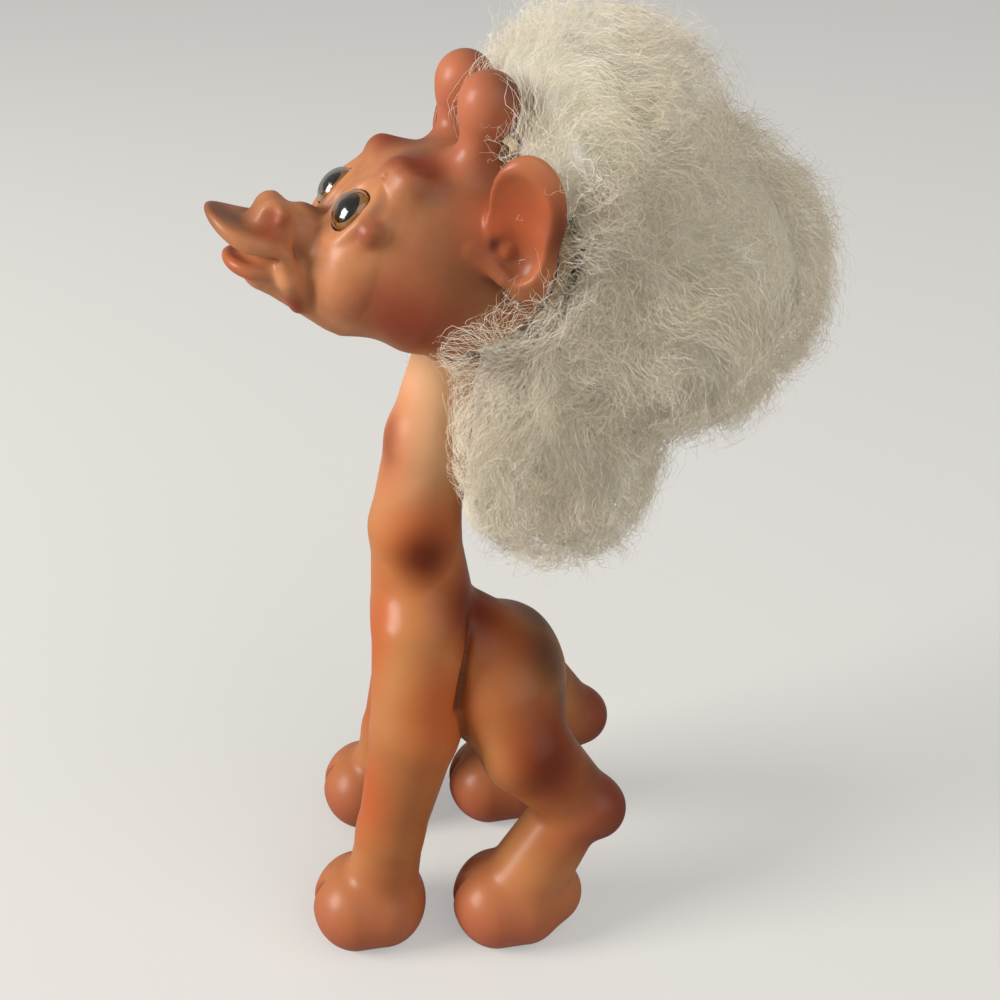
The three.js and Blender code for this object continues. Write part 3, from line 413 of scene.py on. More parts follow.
def mesh_object(name, points, faces):
    """A mesh object from points in metres and arrays of faces, each array with its own number of sides."""
    mesh = bpy.data.meshes.new(name)
    mesh.vertices.add(len(points))
    mesh.vertices.foreach_set("co", np.asarray(points, np.float32).ravel())
    sizes = np.concatenate([np.full(len(f), f.shape[1]) for f in faces])
    mesh.loops.add(int(sizes.sum()))
    mesh.loops.foreach_set("vertex_index", np.concatenate([f.ravel() for f in faces]).astype(np.int32))
    mesh.polygons.add(len(sizes))
    mesh.polygons.foreach_set("loop_start", np.concatenate([[0], np.cumsum(sizes)[:-1]]).astype(np.int32))
    mesh.update(calc_edges=True)
    mesh.polygons.foreach_set("use_smooth", np.ones(len(sizes), bool))
    made = bpy.data.objects.new(name, mesh)
    bpy.context.scene.collection.objects.link(made)
    return made


def head_to_scene(points):
    return (points @ TURN.T + SEAT) * MM


def body_to_scene(points):
    return (points + DOLL) * MM


def only(made):
    """Selects one object and nothing else."""
    bpy.ops.object.select_all(action="DESELECT")
    made.select_set(True)
    bpy.context.view_layer.objects.active = made
    return made


def apply_modifier(made, kind, **settings):
    only(made)
    modifier = made.modifiers.new(kind.title(), kind)
    for key, setting in settings.items():
        setattr(modifier, key, setting)
    bpy.ops.object.modifier_apply(modifier=modifier.name)
    return made


def turned(name, profile, matrix, steps=64):
    """A piece turned about its Z axis from [radius, height] pairs in millimetres, then put in place."""
    mesh = bpy.data.meshes.new(name)
    edges = [(n, n + 1) for n in range(len(profile) - 1)]
    mesh.from_pydata([(r * MM, 0, z * MM) for r, z in profile], edges, [])
    made = bpy.data.objects.new(name, mesh)
    bpy.context.scene.collection.objects.link(made)
    apply_modifier(
        made, "SCREW", steps=steps, render_steps=steps, use_merge_vertices=True, merge_threshold=1e-6,
    )
    bpy.ops.object.mode_set(mode="EDIT")
    bpy.ops.mesh.select_all(action="SELECT")
    bpy.ops.mesh.normals_make_consistent(inside=False)
    bpy.ops.object.mode_set(mode="OBJECT")
    made.data.transform(matrix)
    bpy.ops.object.shade_smooth_by_angle(angle=math.radians(35))
    return made


def cut_or_join(made, tool, operation):
    apply_modifier(made, "BOOLEAN", object=tool, operation=operation, solver="EXACT")
    bpy.data.objects.remove(tool)
    return made


def dome_profile(radius, foot, top):
    """[radius, height] pairs from the foot of a dome to its crown, with a short upright rim."""
    shoulder = foot + 0.4
    rise = top - shoulder
    arc = [[radius * math.cos(a), shoulder + rise * math.sin(a)] for a in np.radians(np.linspace(0, 90, 20))]
    return [[radius, foot]] + arc[:-1] + [[0, top]]


def scene_matrix(spot, turn, on_head=True):
    """The matrix of a place given in millimetres and degrees in the head's or the doll's own frame."""
    rotation = Euler([math.radians(a) for a in turn], "XYZ").to_matrix().to_4x4()
    local = Matrix.Translation(Vector(spot) * MM) @ rotation
    if on_head:
        return Matrix.Translation(Vector(SEAT) * MM) @ Matrix(TURN).to_4x4() @ local
    return Matrix.Translation(Vector(DOLL) * MM) @ local


def add_hollows(made, rounds):
    """Stores how hollow or how bulging the surface is, for the painted shade that darkens the creases."""
    mesh = made.data
    count = len(mesh.vertices)
    points, normals = np.empty(count * 3), np.empty(count * 3)
    mesh.vertices.foreach_get("co", points)
    mesh.vertices.foreach_get("normal", normals)
    points, normals = points.reshape(-1, 3), normals.reshape(-1, 3)
    edges = np.empty(len(mesh.edges) * 2, np.int32)
    mesh.edges.foreach_get("vertices", edges)
    a, b = edges.reshape(-1, 2).T
    degree = np.bincount(a, minlength=count) + np.bincount(b, minlength=count)

    def spread(values):
        total = np.zeros_like(values)
        for c in range(values.shape[1]):
            total[:, c] = np.bincount(a, values[b, c], count) + np.bincount(b, values[a, c], count)
        return total / np.maximum(degree, 1)[:, None]

    wide = points.copy()
    for _ in range(rounds):
        wide = wide + 0.6 * (spread(wide) - wide)
    hollow = ((wide - points) * normals).sum(1, keepdims=True) / MM
    for _ in range(3):
        hollow = spread(hollow)
    attribute = mesh.attributes.new("hollow", "FLOAT", "POINT")
    attribute.data.foreach_set("value", hollow[:, 0].astype(np.float32))


def cast(name, field, low, high, step, to_scene):
    """A sculpted object: the skin of a field within a box, evened out and put in the scene."""
    points, faces = skin(field, low, high, step * (1))
    points = settle(points, faces, field, 2)
    return mesh_object(name, to_scene(points), [faces])


# Body casting
foot_side = max(FRONT_STANCE, REAR_STANCE) + CLEFT_SPREAD + TOE_RADIUS
standing = press(0.6, body_field, lambda x, y, z: z)
body = cast(
    "body_casting", standing,
    [-foot_side, FRONT_TOE_Y - TOE_RADIUS - 2, -SOLE_CUT],
    [foot_side, HOCK_Y + HOCK_RADIUS + 1, SEAT_HEIGHT + NECK_TOP_RADIUS], BODY_STEP, body_to_scene,
)

neck_turn = [-NECK_LEAN, 0, 0]
stub_top = RIM_THICKNESS + RUNNING_GAP + FLANGE_THICKNESS
seat_on_doll = scene_matrix(along_neck(0), neck_turn, on_head=False)
half_gap = RUNNING_GAP / 2
above_neck = turned("above_neck", [[0, -half_gap], [30, -half_gap], [30, 30], [0, 30]], seat_on_doll)
cut_or_join(body, above_neck, "DIFFERENCE")
neck_stub = turned("neck_stub", [
    [0, -6], [GROOVE_RADIUS, -6], [GROOVE_RADIUS, RIM_THICKNESS + RUNNING_GAP],
    [FLANGE_RADIUS, RIM_THICKNESS + RUNNING_GAP], [FLANGE_RADIUS - 0.8, stub_top], [0, stub_top],
], seat_on_doll)
cut_or_join(body, neck_stub, "UNION")
add_hollows(body, 40)

# Head casting
head = cast("head_casting", head_field, [-48, -70, -2], [48, 38, 86], HEAD_STEP, head_to_scene)
seat_on_head = scene_matrix([0, 0, 0], neck_turn)
below_neck = turned("below_neck", [
    [0, -20], [NECK_TOP_RADIUS + 4, -20], [NECK_TOP_RADIUS + 4, half_gap], [0, half_gap],
], seat_on_head)
cut_or_join(head, below_neck, "DIFFERENCE")
socket_top = stub_top + 2 * RUNNING_GAP
neck_socket = turned("neck_socket", [
    [0, -12], [GROOVE_RADIUS + RUNNING_GAP, -12], [GROOVE_RADIUS + RUNNING_GAP, RIM_THICKNESS],
    [FLANGE_RADIUS + RUNNING_GAP, RIM_THICKNESS], [FLANGE_RADIUS + RUNNING_GAP, socket_top], [0, socket_top],
], seat_on_head)
cut_or_join(head, neck_socket, "DIFFERENCE")
eye_places = {
    word: scene_matrix([side * EYE_SPREAD, EYE_Y, EYE_RISE], [90 - EYE_UP_TURN, 0, side * EYE_SIDE_TURN])
    for word, side in (("left", 1), ("right", -1))
}
hole_radius, hole_end = STEM_RADIUS + SEAT_GAP, -EYE_BACK - STEM_LENGTH - SEAT_GAP
for word, place in eye_places.items():
    socket = turned("eye_socket_" + word, [
        [0, hole_end], [hole_radius, hole_end], [hole_radius, -EYE_BACK - SEAT_GAP],
        [EYE_RADIUS + SEAT_GAP, -EYE_BACK - SEAT_GAP],
        *dome_profile(EYE_RADIUS + SEAT_GAP, SEAT_GAP, EYE_DOME + SEAT_GAP),
    ], place)
    cut_or_join(head, socket, "DIFFERENCE")
add_hollows(head, 30)

# Eyes: an amber back on a stem with a cone round the pupil, a black domed pupil and a clear dome
eyes = []
stem_end, ring_inside, ring_top = -EYE_BACK - STEM_LENGTH, PUPIL_RADIUS + 0.1, 2.9
for word, place in eye_places.items():
    iris = turned("eye_iris_%s_fine" % word, [
        [0, stem_end], [STEM_RADIUS - 0.4, stem_end], [STEM_RADIUS, stem_end + 0.4],
        [STEM_RADIUS, -EYE_BACK - 0.3], [STEM_RADIUS + 0.3, -EYE_BACK], [EYE_RADIUS - 0.3, -EYE_BACK],
        [EYE_RADIUS, -EYE_BACK + 0.3], [EYE_RADIUS, 0], [EYE_RADIUS - LENS_WALL - 0.15, 0],
        [EYE_RADIUS - LENS_WALL - 0.2, 1.1], [PUPIL_RADIUS + 0.3, ring_top], [ring_inside, ring_top],
        [ring_inside, 0], [0, 0],
    ], place)
    pupil = turned("eye_pupil_%s_fine" % word, [
        [0, SEAT_GAP], *dome_profile(PUPIL_RADIUS, SEAT_GAP, EYE_DOME - LENS_WALL - 0.2),
    ], place)
    lens = turned("eye_lens_%s_fine" % word, [
        *dome_profile(EYE_RADIUS - LENS_WALL, SEAT_GAP, EYE_DOME - LENS_WALL)[::-1],
        *dome_profile(EYE_RADIUS, SEAT_GAP, EYE_DOME),
    ], place)
    eyes.append((word, iris, pupil, lens))

# Mane: locks of opaque wool under a coat of fine strands
ears = pair(1, ear)
neck_column = placed(
    limb([0, 0, -100], NECK_BASE_RADIUS + 6, [0, 0, 10], NECK_TOP_RADIUS + 4), [0, 0, 0], neck_turn,
)


def keep_off(x, y, z):
    """How far a place is from the hide, the vinyl and the neck, less the air that mohair leaves there."""
    hide_side = np.minimum(face(x, y, z) - HIDE_THICKNESS - HIDE_CLEARANCE, head_base(x, y, z) - 0.6)
    return np.minimum(hide_side, np.minimum(ears(x, y, z) - 0.4, neck_column(x, y, z)))


def lock_of(mass):
    return egg([0, mass["y"], mass["rise"]], [mass["width"], mass["length"], mass["height"]])


mane_mass = flow(
    14, lock_of(MANE_CROWN), lock_of(MANE_BACK), lock_of(MANE_NAPE),
    limb([0, 30, 20], 27, [0, MANE_NAPE["y"], MANE_NAPE["rise"]], MANE_NAPE["width"] - 6),
)
covering_mane = flow(
    10, mane_mass, *(pair(1, limb(*tuft)) for tuft in (JAW_TUFT, NECK_WING, NECK_CURTAIN, BEHIND_EAR)),
)


def waves(points, scale, seed, octaves=2):
    """Smooth random vectors that change over the given length in millimetres, each about 1 long."""
    rng = np.random.default_rng(seed)
    total = np.zeros((len(points), 3))
    for octave in range(octaves):
        for _ in range(5):
            way, turn = rng.normal(size=(3, 3)), rng.uniform(0, 2 * math.pi, 3)
            total += np.sin(points @ way.T * (2.2 * 2 ** octave / scale) + turn) * 0.5 / 2 ** octave
    return total


def combed(points):
    """The way the mohair is combed: up in front of the crown, round and down behind, back under the ear."""
    y, z = points[:, 1] - SWIRL_CENTRE[0], points[:, 2] - SWIRL_CENTRE[1]
    out = np.arctan2(z, y) - SWIRL
    side = np.clip(points[:, 0] / 60, -0.5, 0.5)
    way = np.stack([side, np.cos(out), np.sin(out)], 1)
    return way / np.linalg.norm(way, axis=1, keepdims=True)


def wool_field(x, y, z):
    """The core: under the mane's outline, gathered in tufts, off the vinyl and ears, behind the face."""
    points = np.stack([x.ravel(), y.ravel(), z.ravel()], 1)
    lumps = waves(points, LUMP_LENGTH, 3, 4)[:, 0].reshape(x.shape)
    gathered = covering_mane(x, y, z) + WOOL_DEPTH + LUMP_HEIGHT * lumps
    off_vinyl, off_ears = WOOL_OFF_VINYL - keep_off(x, y, z), WOOL_OFF_EARS - ears(x, y, z)
    behind_face = WOOL_START_Y - y - 0.35 * np.clip(z, 0, 50)
    return np.maximum.reduce([gathered, off_vinyl, off_ears, behind_face])


wool = cast("mohair_wool", wool_field, MANE_LOW, MANE_HIGH, WOOL_STEP, head_to_scene)


def height_on_doll(points):
    """Heights above the ground of points in the head's own frame."""
    return (points @ TURN.T)[:, 2] + SEAT_HEIGHT


def kept_in(points, reach):
    """Draws points in to the given reach beyond the mane's mass, out of the vinyl, and up off the back."""
    beyond, slope = slope_of(points, covering_mane, 0.05)
    length = np.maximum(np.sqrt((slope ** 2).sum(1)), 0.3)[:, None]
    points = points - np.clip(beyond - reach, 0, 30)[:, None] * slope / length ** 2
    near, slope = slope_of(points, keep_off, 0.05)
    steepness = np.maximum((slope ** 2).sum(1), 0.3)[:, None]
    points = points + np.clip(0.5 - near, 0, 5)[:, None] * slope / steepness
    return points + np.clip(MANE_FLOOR - height_on_doll(points), 0, 20)[:, None] * TURN[2]


def sides_of(line, across):
    """Two directions across each point of the lines, square to them and to each other."""
    tangent = np.gradient(line, axis=1)
    tangent /= np.linalg.norm(tangent, axis=2, keepdims=True) + 1e-9
    u = np.cross(tangent, across)
    u /= np.linalg.norm(u, axis=2, keepdims=True) + 1e-9
    return u, np.cross(tangent, u)


def strands(name, roots, way, lengths, radii, reach, seed):
    """Closed three-sided strands that grow from their roots, kinked and curled like mohair."""
    rng = np.random.default_rng(seed)
    count = len(roots)
    step = (lengths / (KNOTS - 1))[:, None]
    way = way / np.linalg.norm(way, axis=1, keepdims=True)
    line = [roots]
    for n in range(1, KNOTS):
        here = line[-1]
        sway = waves(here, SWAY_LENGTH, seed % 7) * SWAY
        way = way + combed(here) * COMB_PULL + sway + rng.normal(size=(count, 3)) * KINK
        way /= np.linalg.norm(way, axis=1, keepdims=True)
        line.append(kept_in(here + way * step, reach))
    line = np.stack(line, 1)
    u, v = sides_of(line, rng.normal(size=(count, 1, 3)))
    walked = np.arange(KNOTS) * step
    wavelength = step * rng.uniform(4, 7.5, (count, 1))
    phase = walked * 2 * math.pi / wavelength + rng.uniform(0, 2 * math.pi, (count, 1))
    size = (STRAND_CURL * rng.uniform(0.4, 1.3, (count, 1)) * np.clip(walked / 4, 0, 1))[..., None]
    line = line + size * (np.cos(phase)[..., None] * u + np.sin(phase)[..., None] * v)
    line = kept_in(line.reshape(-1, 3), np.repeat(reach, KNOTS)).reshape(count, KNOTS, 3)
    u, v = sides_of(line, u)
    taper = np.interp(np.linspace(0, 1, KNOTS), [0, 0.15, 0.7, 1], [0.8, 1, 0.85, 0.3])
    radius = (radii[:, None] * taper)[..., None]
    third = 2 * math.pi / 3
    corners = [line + radius * (math.cos(a) * u + math.sin(a) * v) for a in (0, third, 2 * third)]
    points = np.stack(corners, 2).reshape(-1, 3)
    first = np.arange(count)[:, None] * KNOTS * 3
    rings = first + np.arange(KNOTS - 1) * 3
    quads = []
    for near, far in ((0, 1), (1, 2), (2, 0)):
        sides = [rings + near, rings + far, rings + far + 3, rings + near + 3]
        quads.append(np.stack(sides, 2).reshape(-1, 4))
    root, tip = first[:, 0], first[:, 0] + (KNOTS - 1) * 3
    caps = [np.stack([root + 2, root + 1, root], 1), np.stack([tip, tip + 1, tip + 2], 1)]
    made = mesh_object(name, head_to_scene(points), [np.concatenate(quads), np.concatenate(caps)])
    tone = np.repeat(rng.uniform(0, 1, count), KNOTS * 3).astype(np.float32)
    made.data.attributes.new("tone", "FLOAT", "POINT").data.foreach_set("value", tone)
    return made


rng = np.random.default_rng(11)
roots = np.empty((0, 3))
while len(roots) < LOCKS * PER_LOCK:
    points = rng.uniform(MANE_LOW, MANE_HIGH, (300000, 3))
    points = points[(covering_mane(*points.T) < 0.3) & (wool_field(*points.T) > -ROOT_MARGIN)]
    points = points[(keep_off(*points.T) > ROOT_MARGIN) & (height_on_doll(points) > MANE_FLOOR + 2)]
    roots = np.concatenate([roots, points])
roots = roots[:LOCKS * PER_LOCK]
outward = slope_of(roots, covering_mane, 0.05)[1]
outward /= np.linalg.norm(outward, axis=1, keepdims=True)
order = np.argsort(np.arctan2(roots[:, 2] - SWIRL_CENTRE[1], roots[:, 1] - SWIRL_CENTRE[0]))
coat = []
for n, chosen in enumerate(np.array_split(order, LOCKS)):
    picks = chosen
    count = len(picks)
    loose = rng.normal(size=(count, 3))
    loose -= (loose * outward[picks]).sum(1, keepdims=True) * outward[picks]
    lift = outward[picks] * rng.uniform(0, LIFT, (count, 1))
    way = combed(roots[picks]) * COMBED + loose * LOOSENESS + lift
    by_face = roots[picks][:, 1] < FACE_SIDE_Y
    reach = np.clip(rng.gamma(1.4, 2.9, count), 0, LONGEST_REACH) * np.where(by_face, FACE_SIDE_REACH, 1)
    radii = (rng.uniform(*STRAND_RADII, count) - 0.004 * reach) * np.where(by_face, FACE_SIDE_RADIUS, 1)
    lengths = rng.uniform(*STRAND_LENGTHS, count)
    name = "mohair_strands_%d" % (n + 1)
    coat.append(strands(name, roots[picks], way, lengths, radii, reach, 100 + n))


# Materials
def linear(r, g, b):
    """A colour given as it looks on a screen, 0 to 255."""
    return tuple(((c / 255 + 0.055) / 1.055) ** 2.4 if c > 10 else c / 3295 for c in (r, g, b)) + (1,)


def add_node(tree, kind, sockets=None, **settings):
    """A node with its settings; each socket is given a value or the output that feeds it."""
    made = tree.nodes.new(kind)
    for key, setting in settings.items():
        setattr(made, key, setting)
    for key, value in (sockets or {}).items():
        if isinstance(value, bpy.types.NodeSocket):
            tree.links.new(value, made.inputs[key])
        else:
            made.inputs[key].default_value = value
    return made


def maths(tree, operation, *values):
    return add_node(tree, "ShaderNodeMath", dict(enumerate(values)), operation=operation).outputs[0]


def noise(tree, vector, scale, detail, roughness=0.5, distortion=0.0):
    made = add_node(tree, "ShaderNodeTexNoise", {"Vector": vector, "Scale": scale, "Detail": detail})
    made.inputs["Roughness"].default_value = roughness
    made.inputs["Distortion"].default_value = distortion
    return made.outputs["Fac"]


def ranged(tree, value, low, high, to_low=0.0, to_high=1.0, **settings):
    """A value stretched so that low becomes to_low and high becomes to_high, and held between those."""
    sockets = {"Value": value, "From Min": low, "From Max": high, "To Min": to_low, "To Max": to_high}
    return add_node(tree, "ShaderNodeMapRange", sockets, **settings).outputs["Result"]


def new_group(name, inputs, outputs):
    """A node group with its input and output nodes; vectors and numbers as sockets."""
    tree = bpy.data.node_groups.new(name, "ShaderNodeTree")
    for label, kind, value in inputs:
        socket = tree.interface.new_socket(label, in_out="INPUT", socket_type=kind)
        socket.default_value = value
    for label, kind in outputs:
        tree.interface.new_socket(label, in_out="OUTPUT", socket_type=kind)
    return tree, tree.nodes.new("NodeGroupInput"), tree.nodes.new("NodeGroupOutput")


def strongest(tree, masks):
    result = masks[0]
    for mask in masks[1:]:
        result = maths(tree, "MAXIMUM", result, mask)
    return result


def spray_and_shade_patch_group():
    """A soft spot for the airbrush and for painted light and shade: full in its middle, fading to nothing at
    its radius, with an uneven edge.
    """
    tree, given, result = new_group(
        "spray_and_shade_patch",
        [("Vector", "NodeSocketVector", (0, 0, 0)), ("Centre", "NodeSocketVector", (0, 0, 0)),
         ("Stretch", "NodeSocketVector", (1, 1, 1)), ("Radius", "NodeSocketFloat", 10),
         ("Wander", "NodeSocketFloat", 0)],
        [("Mask", "NodeSocketFloat")],
    )
    vector, centre, stretch, radius, wander = given.outputs[:5]
    away = add_node(tree, "ShaderNodeVectorMath", {0: vector, 1: centre}, operation="SUBTRACT")
    squeezed = add_node(tree, "ShaderNodeVectorMath", {0: away.outputs[0], 1: stretch}, operation="MULTIPLY")
    length = add_node(tree, "ShaderNodeVectorMath", {0: squeezed.outputs[0]}, operation="LENGTH")
    uneven = maths(tree, "ADD", length.outputs["Value"], wander)
    core = maths(tree, "MULTIPLY", radius, 0.1)
    mask = ranged(tree, uneven, radius, core, interpolation_type="SMOOTHSTEP")
    tree.links.new(mask, result.inputs["Mask"])
    return tree


def soft_vinyl_group():
    """The satin skin of soft vinyl: faint orange peel in the height, and handling that changes the gloss."""
    tree, given, result = new_group(
        "soft_vinyl",
        [("Vector", "NodeSocketVector", (0, 0, 0)), ("Gloss", "NodeSocketFloat", 0.4)],
        [("Roughness", "NodeSocketFloat"), ("Height", "NodeSocketFloat"), ("Drift", "NodeSocketFloat")],
    )
    vector = given.outputs["Vector"]
    peel = noise(tree, vector, 0.9, 3.0, 0.6)
    pores = noise(tree, vector, 3.2, 2.0)
    rubbed = noise(tree, vector, 0.07, 4.0, 0.6)
    gloss = ranged(tree, rubbed, 0.3, 0.7, -0.06, 0.08)
    tree.links.new(maths(tree, "ADD", given.outputs["Gloss"], gloss), result.inputs["Roughness"])
    tree.links.new(maths(tree, "MULTIPLY_ADD", pores, 0.35, peel), result.inputs["Height"])
    tree.links.new(rubbed, result.inputs["Drift"])
    return tree


def tangled_fibres_group():
    """Fine bright lines that wander over and under each other in three directions, like frizzed wool."""
    tree, given, result = new_group(
        "tangled_fibres", [("Vector", "NodeSocketVector", (0, 0, 0))], [("Mask", "NodeSocketFloat")],
    )
    vector = given.outputs["Vector"]
    lines = []
    for turn in ((0.3, 0.2, 0.4), (1.2, -0.5, 0.1), (-0.7, 0.4, -0.6)):
        mapping = add_node(tree, "ShaderNodeMapping", {"Vector": vector}, vector_type="TEXTURE")
        mapping.inputs["Rotation"].default_value = turn
        mapping.inputs["Scale"].default_value = (1, 3.6, 1)
        middle = maths(tree, "SUBTRACT", noise(tree, mapping.outputs["Vector"], 0.9, 2.5, 0.6, 1.2), 0.5)
        lines.append(ranged(tree, maths(tree, "ABSOLUTE", middle), 0.0, 0.07, 1.0, 0.0))
    tree.links.new(strongest(tree, lines), result.inputs["Mask"])
    return tree


spray_and_shade_patch = spray_and_shade_patch_group()
soft_vinyl = soft_vinyl_group()
tangled_fibres = tangled_fibres_group()


def mixed(tree, factor, first, second):
    made = add_node(tree, "ShaderNodeMix", {"Factor": factor}, data_type="RGBA")
    for socket, value in ((made.inputs[6], first), (made.inputs[7], second)):
        if isinstance(value, bpy.types.NodeSocket):
            tree.links.new(value, socket)
        else:
            socket.default_value = value
    return made.outputs[2]


def new_material(name):
    material = bpy.data.materials.new(name)
    material.use_nodes = True
    tree = material.node_tree
    return material, tree, tree.nodes["Principled BSDF"]


def own_coordinates(tree, rotation, location):
    """Object coordinates turned into the millimetres of the piece's own frame."""
    coordinates = add_node(tree, "ShaderNodeTexCoord").outputs["Object"]
    mapping = add_node(tree, "ShaderNodeMapping", {"Vector": coordinates}, vector_type="POINT")
    mapping.inputs["Scale"].default_value = (1 / MM,) * 3
    mapping.inputs["Rotation"].default_value = rotation
    mapping.inputs["Location"].default_value = location
    return mapping.outputs["Vector"]


def bumped(tree, shader, height, strength, distance):
    bump = add_node(tree, "ShaderNodeBump", {"Height": height, "Strength": strength, "Distance": distance})
    tree.links.new(bump.outputs["Normal"], shader.inputs["Normal"])


EDGE_WANDER = 2.5
CREASE_SHADE_STRENGTH = 0.75


def vinyl_material(name, vector_frame, base, shade, layers, crease_shade, gloss):
    """Satin vinyl with layers of airbrush, some of them painted light and shade, and painted shade in the
    creases: each layer is a colour, its strength and its spots.
    """
    material, tree, shader = new_material(name)
    vector = own_coordinates(tree, *vector_frame)
    skin_node = add_node(tree, "ShaderNodeGroup", node_tree=soft_vinyl)
    tree.links.new(vector, skin_node.inputs["Vector"])
    skin_node.inputs["Gloss"].default_value = gloss
    colour = mixed(tree, ranged(tree, skin_node.outputs["Drift"], 0.35, 0.75), base, shade)
    wander = ranged(tree, noise(tree, vector, 0.06, 3.0), 0.0, 1.0, -EDGE_WANDER, EDGE_WANDER)
    for tint, strength, spots in layers:
        masks = []
        for centre, radius, stretch in spots:
            spot = add_node(tree, "ShaderNodeGroup", node_tree=spray_and_shade_patch)
            tree.links.new(vector, spot.inputs["Vector"])
            tree.links.new(wander, spot.inputs["Wander"])
            spot.inputs["Centre"].default_value = centre
            spot.inputs["Radius"].default_value = radius
            spot.inputs["Stretch"].default_value = stretch
            masks.append(spot.outputs["Mask"])
        colour = mixed(tree, maths(tree, "MULTIPLY", strongest(tree, masks), strength), colour, tint)
    # Painted shade: darker in the creases, by how hollow the surface is
    hollow = add_node(tree, "ShaderNodeAttribute", attribute_name="hollow").outputs["Fac"]
    colour = mixed(tree, ranged(tree, hollow, 0.12, 1.1, 0.0, CREASE_SHADE_STRENGTH), colour, crease_shade)
    tree.links.new(colour, shader.inputs["Base Color"])
    tree.links.new(skin_node.outputs["Roughness"], shader.inputs["Roughness"])
    bumped(tree, shader, skin_node.outputs["Height"], 0.05, 0.0002)
    shader.inputs["Specular IOR Level"].default_value = 0.2
    shader.inputs["Coat Weight"].default_value = 0.09
    shader.inputs["Coat Roughness"].default_value = 0.22
    return material


def both_sides(*spots):
    """Spots given for the doll's left side, and again for its right."""
    return [((side * x, y, z), radius, stretch) for (x, y, z), radius, stretch in spots for side in (1, -1)]


doll_frame = ((0, 0, 0), tuple(-DOLL))
unturn = Matrix(TURN.T.tolist())
head_frame = (tuple(unturn.to_euler("XYZ")), tuple(unturn @ Vector(-SEAT)))

# Airbrushed colours, with painted light and shade among them as marked; each spot is its place, its radius
# and how much each axis is squeezed
EVEN = (1, 1, 1)
HOCK_POINT = (REAR_STANCE - 5, HOCK_Y + 9, HOCK_HEIGHT - 4)
GLOW, RUST, BROWN = linear(180, 80, 32), linear(88, 22, 4), linear(62, 28, 11)
FOOT, PALE, PAINTED_SHADE_TAN = linear(160, 78, 56), linear(230, 182, 138), linear(150, 82, 42)
body_vinyl = vinyl_material(
    "body_vinyl_airbrush_painted_light_and_shade", doll_frame, linear(184, 123, 73), linear(178, 117, 69),
    [
        # Paler on the upper front of the neck: partly airbrush, partly painted light where the lamp falls
        (PALE, 0.8, both_sides(((8, 2, 192), 42, (1, 1, 0.8)))),
        # Brown on the haunch and rump: airbrush, partly painted shade on the side away from the lamp
        (BROWN, 0.85, both_sides(
            ((12, 46, 106), 34, EVEN), ((20, 56, 86), 30, EVEN), ((26, 64, 62), 22, EVEN),
        )),
        # Painted shade on the outer sides of the shins, ankles and hocks and on the belly
        (PAINTED_SHADE_TAN, 0.7, both_sides(
            ((33, -6, 58), 26, (1, 1, 0.5)), ((38, 46, 48), 24, EVEN), ((26, 30, 96), 22, EVEN),
            ((40, -8, 34), 20, EVEN),
        )),
        (FOOT, 0.95, both_sides(
            ((FRONT_STANCE, FRONT_TOE_Y - 2, 2), 68, (1, 1, 1.7)),
            ((REAR_STANCE, REAR_TOE_Y, 2), 70, (1, 1, 1.7)), (HOCK_POINT, 34, EVEN),
        )),
        (GLOW, 0.75, both_sides(
            ((8, -11, 182), 24, (1, 1, 0.6)), ((14, 6, 148), 30, EVEN), ((9, 20, 120), 32, EVEN),
            ((28.5, 9, 92), 24, (1, 1.2, 0.7)), ((37, 43, 77), 28, (1, 1.2, 0.9)),
            ((27, -19, 60), 20, (1, 1, 0.6)), ((15, -16, 118), 20, (1, 1, 0.4)),
        )),
        (RUST, 0.85, both_sides(
            ((8, -12, 182), 12, (1, 1, 0.6)), ((14.5, 4, 143), 15, EVEN), ((9, 20, 120), 23, EVEN),
            ((37, 44, 76), 28, (1, 1.2, 0.9)), ((2, 16, 100), 20, EVEN), (HOCK_POINT, 24, EVEN),
        )),
    ],
    crease_shade=linear(48, 18, 5), gloss=0.4,
)
ROSE, DARK, EAR_RED = linear(136, 56, 36), linear(100, 54, 32), linear(168, 78, 44)
HORN_PINK, DEEP_SHADE = linear(184, 102, 74), linear(88, 42, 28)
head_vinyl = vinyl_material(
    "head_vinyl_airbrush_painted_shade", head_frame, linear(192, 129, 86), linear(173, 106, 69),
    [
        # Brown on the temples, bridge, forehead and bill: airbrush, partly painted shade
        (DARK, 0.72, both_sides(
            ((27, -2, 42), 30, (1, 1, 0.8)), ((0, -38, 47), 7, EVEN), ((8, -8, 64), 20, EVEN),
            ((0, -62, 48), 14, EVEN), ((25, 2, 62), 18, EVEN),
        )),
        # Rose on cheeks, jaw, nose and lips; the spots in the brow hollow and beside the eye bag are partly
        # painted shade
        (ROSE, 0.9, both_sides(
            ((27, -19, 21), 25, EVEN), ((14.5, -10.5, 62), 13, EVEN), ((19.5, -27, 45.5), 6.5, EVEN),
            ((9, -51, 46), 8, EVEN), ((10, -47, 24), 7, EVEN), ((10, -15, 60), 9, EVEN),
        )),
        (EAR_RED, 0.9, both_sides(((36, 9, 52), 26, EVEN), ((4, -63, 33), 14, (1, 1, 1.6)))),
        (HORN_PINK, 0.8, both_sides(((HORN_SPREAD, 7, HORN_RISE - 3), 25, (1, 1, 0.9)))),
        (DEEP_SHADE, 0.85, both_sides(
            ((HORN_SPREAD + 3, 15, HORN_RISE + 5), 15, EVEN), ((31.5, 4, 44), 4, EVEN),
            ((40, 20, 48), 8, (1, 1, 0.5)), ((16, -9, 64), 7, EVEN),
        )),
    ],
    crease_shade=linear(84, 38, 26), gloss=0.4,
)


